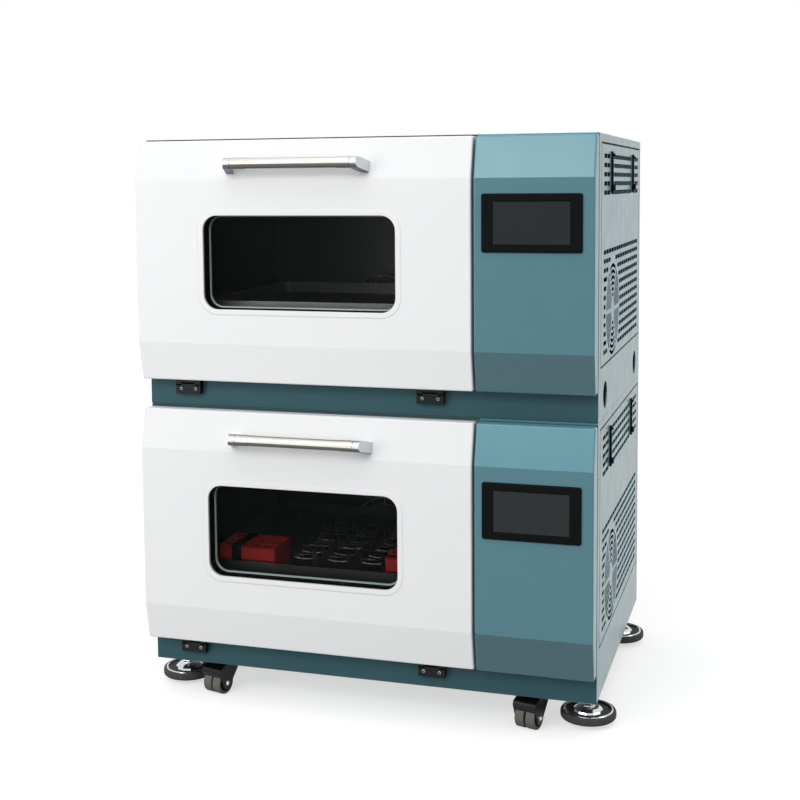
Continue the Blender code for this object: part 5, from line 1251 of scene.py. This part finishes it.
def sees_background(tree):
    """1 for the rays that show the background: the camera's, and those off metal and through glass."""
    path = add_node(tree, "ShaderNodeLightPath")
    both = add_node(tree, "ShaderNodeMath", {0: path.outputs["Is Camera Ray"], 1: path.outputs["Is Glossy Ray"]},
                    operation="ADD")
    every = add_node(tree, "ShaderNodeMath", {0: both.outputs[0], 1: path.outputs["Is Transmission Ray"]},
                     operation="ADD", use_clamp=True)
    return every.outputs[0]


def floor_finish():
    """Pale studio floor: seen lifted to white, while it throws back little light from below."""
    made, tree, shader = new_material("pale_studio_floor", {"Roughness": 0.9, "Specular IOR Level": 0.1,
                                                            "Emission Color": (1.0, 1.0, 1.0, 1.0)})
    returned, glow = 0.22, 0.6
    place = add_node(tree, "ShaderNodeTexCoord").outputs["Object"]
    noise = add_node(tree, "ShaderNodeTexNoise", {"Vector": place, "Scale": 3.0, "Detail": 2.0})
    seen = sees_background(tree)
    tint = add_node(tree, "ShaderNodeMix", {"Factor": noise.outputs["Fac"], "A": (0.5, 0.5, 0.5, 1.0),
                                            "B": (0.52, 0.52, 0.52, 1.0)}, data_type="RGBA")
    ground = add_node(tree, "ShaderNodeMix", {"Factor": seen, "A": (returned, returned, returned, 1.0),
                                              "B": tint.outputs["Result"]}, data_type="RGBA")
    tree.links.new(ground.outputs["Result"], shader.inputs["Base Color"])
    lift = add_node(tree, "ShaderNodeMath", {0: seen, 1: glow}, operation="MULTIPLY")
    tree.links.new(lift.outputs["Value"], shader.inputs["Emission Strength"])
    return made


def make_world(scene):
    """A white surround where it is seen, and a soft gradient from grey at the horizon to white above."""
    world = bpy.data.worlds.new("studio_surround")
    world.use_nodes = True
    tree = world.node_tree
    tree.nodes.clear()
    direction = add_node(tree, "ShaderNodeTexCoord").outputs["Generated"]
    up = add_node(tree, "ShaderNodeSeparateXYZ", {"Vector": direction}).outputs["Z"]
    horizon, overhead = 0.42, 0.8
    rise = add_node(tree, "ShaderNodeMapRange", {"Value": up, "From Min": 0.0, "From Max": 0.6,
                                                 "To Min": horizon, "To Max": overhead})
    light = add_node(tree, "ShaderNodeBackground", {"Color": (1.0, 1.0, 1.0, 1.0),
                                                    "Strength": rise.outputs["Result"]})
    white = add_node(tree, "ShaderNodeBackground", {"Color": (1.0, 1.0, 1.0, 1.0), "Strength": 1.0})
    mix = add_node(tree, "ShaderNodeMixShader", {0: sees_background(tree), 1: light.outputs[0],
                                                 2: white.outputs[0]})
    add_node(tree, "ShaderNodeOutputWorld", {"Surface": mix.outputs[0]})
    scene.world = world


PHOTO_SIZE = 800
FOCAL_LENGTH = 1302.29
MIDDLE_ROW = 295.74
CAMERA_PLACE = (0.86469, -2.57731, 1.06209)


def make_camera(scene):
    """The photograph's view, fitted to the edges of both units; lengths in the picture are in pixels."""
    lens = bpy.data.cameras.new("photo_view")
    lens.sensor_width = 36.0
    lens.lens = FOCAL_LENGTH / PHOTO_SIZE * lens.sensor_width
    lens.shift_y = (MIDDLE_ROW - PHOTO_SIZE / 2) / PHOTO_SIZE
    lens.clip_start, lens.clip_end = 0.1, 100.0
    camera = bpy.data.objects.new("photo_view", lens)
    yaw, pitch, roll = 0.2946, -0.0860, -0.0075
    right = Vector((math.cos(yaw), math.sin(yaw), 0.0))
    ahead = Vector((-math.sin(yaw) * math.cos(pitch), math.cos(yaw) * math.cos(pitch), math.sin(pitch)))
    up = right.cross(ahead)
    side = right * math.cos(roll) + up * math.sin(roll)
    top = up * math.cos(roll) - right * math.sin(roll)
    turn = Matrix((side, top, -ahead)).transposed().to_4x4()
    camera.matrix_world = Matrix.Translation(unit_origin("lower") + Vector(CAMERA_PLACE)) @ turn
    scene.collection.objects.link(camera)
    scene.camera = camera


class SHAKER_PT_pieces(bpy.types.Panel):
    """Lists the pieces in the order in which they are built"""
    bl_label = "Incubator shaker"
    bl_space_type = "VIEW_3D"
    bl_region_type = "UI"
    bl_category = "Shaker"

    def draw(self, context):
        """One button for each operator."""
        for operator in OPERATORS:
            self.layout.operator(operator.bl_idname)


OPERATORS = (ShakerDress, ShakerDoors, ShakerWindows, ShakerHandles, ShakerHinges, ShakerFascias, ShakerScreens,
             ShakerPanels, ShakerFans, ShakerLocks, ShakerCastors, ShakerFeet, ShakerRacks, ShakerChambers,
             ShakerBacks, ShakerStage)
CLASSES = (ShakerSizes, ShakerColours, *OPERATORS, SHAKER_PT_pieces)


def register():
    """Registers the classes and the two groups of settings."""
    for made in CLASSES:
        bpy.utils.register_class(made)
    bpy.types.Scene.shaker_sizes = PointerProperty(type=ShakerSizes)
    bpy.types.Scene.shaker_colours = PointerProperty(type=ShakerColours)


def unregister():
    """Removes the settings and the classes."""
    del bpy.types.Scene.shaker_colours
    del bpy.types.Scene.shaker_sizes
    for made in reversed(CLASSES):
        bpy.utils.unregister_class(made)


def main():
    """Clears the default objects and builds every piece."""
    for name in ("Cube", "Light", "Camera"):
        if name in bpy.data.objects:
            bpy.data.objects.remove(bpy.data.objects[name])
    register()
    for operator in OPERATORS:
        group, name = operator.bl_idname.split(".")
        getattr(getattr(bpy.ops, group), name)()


if __name__ == "__main__":
    main()
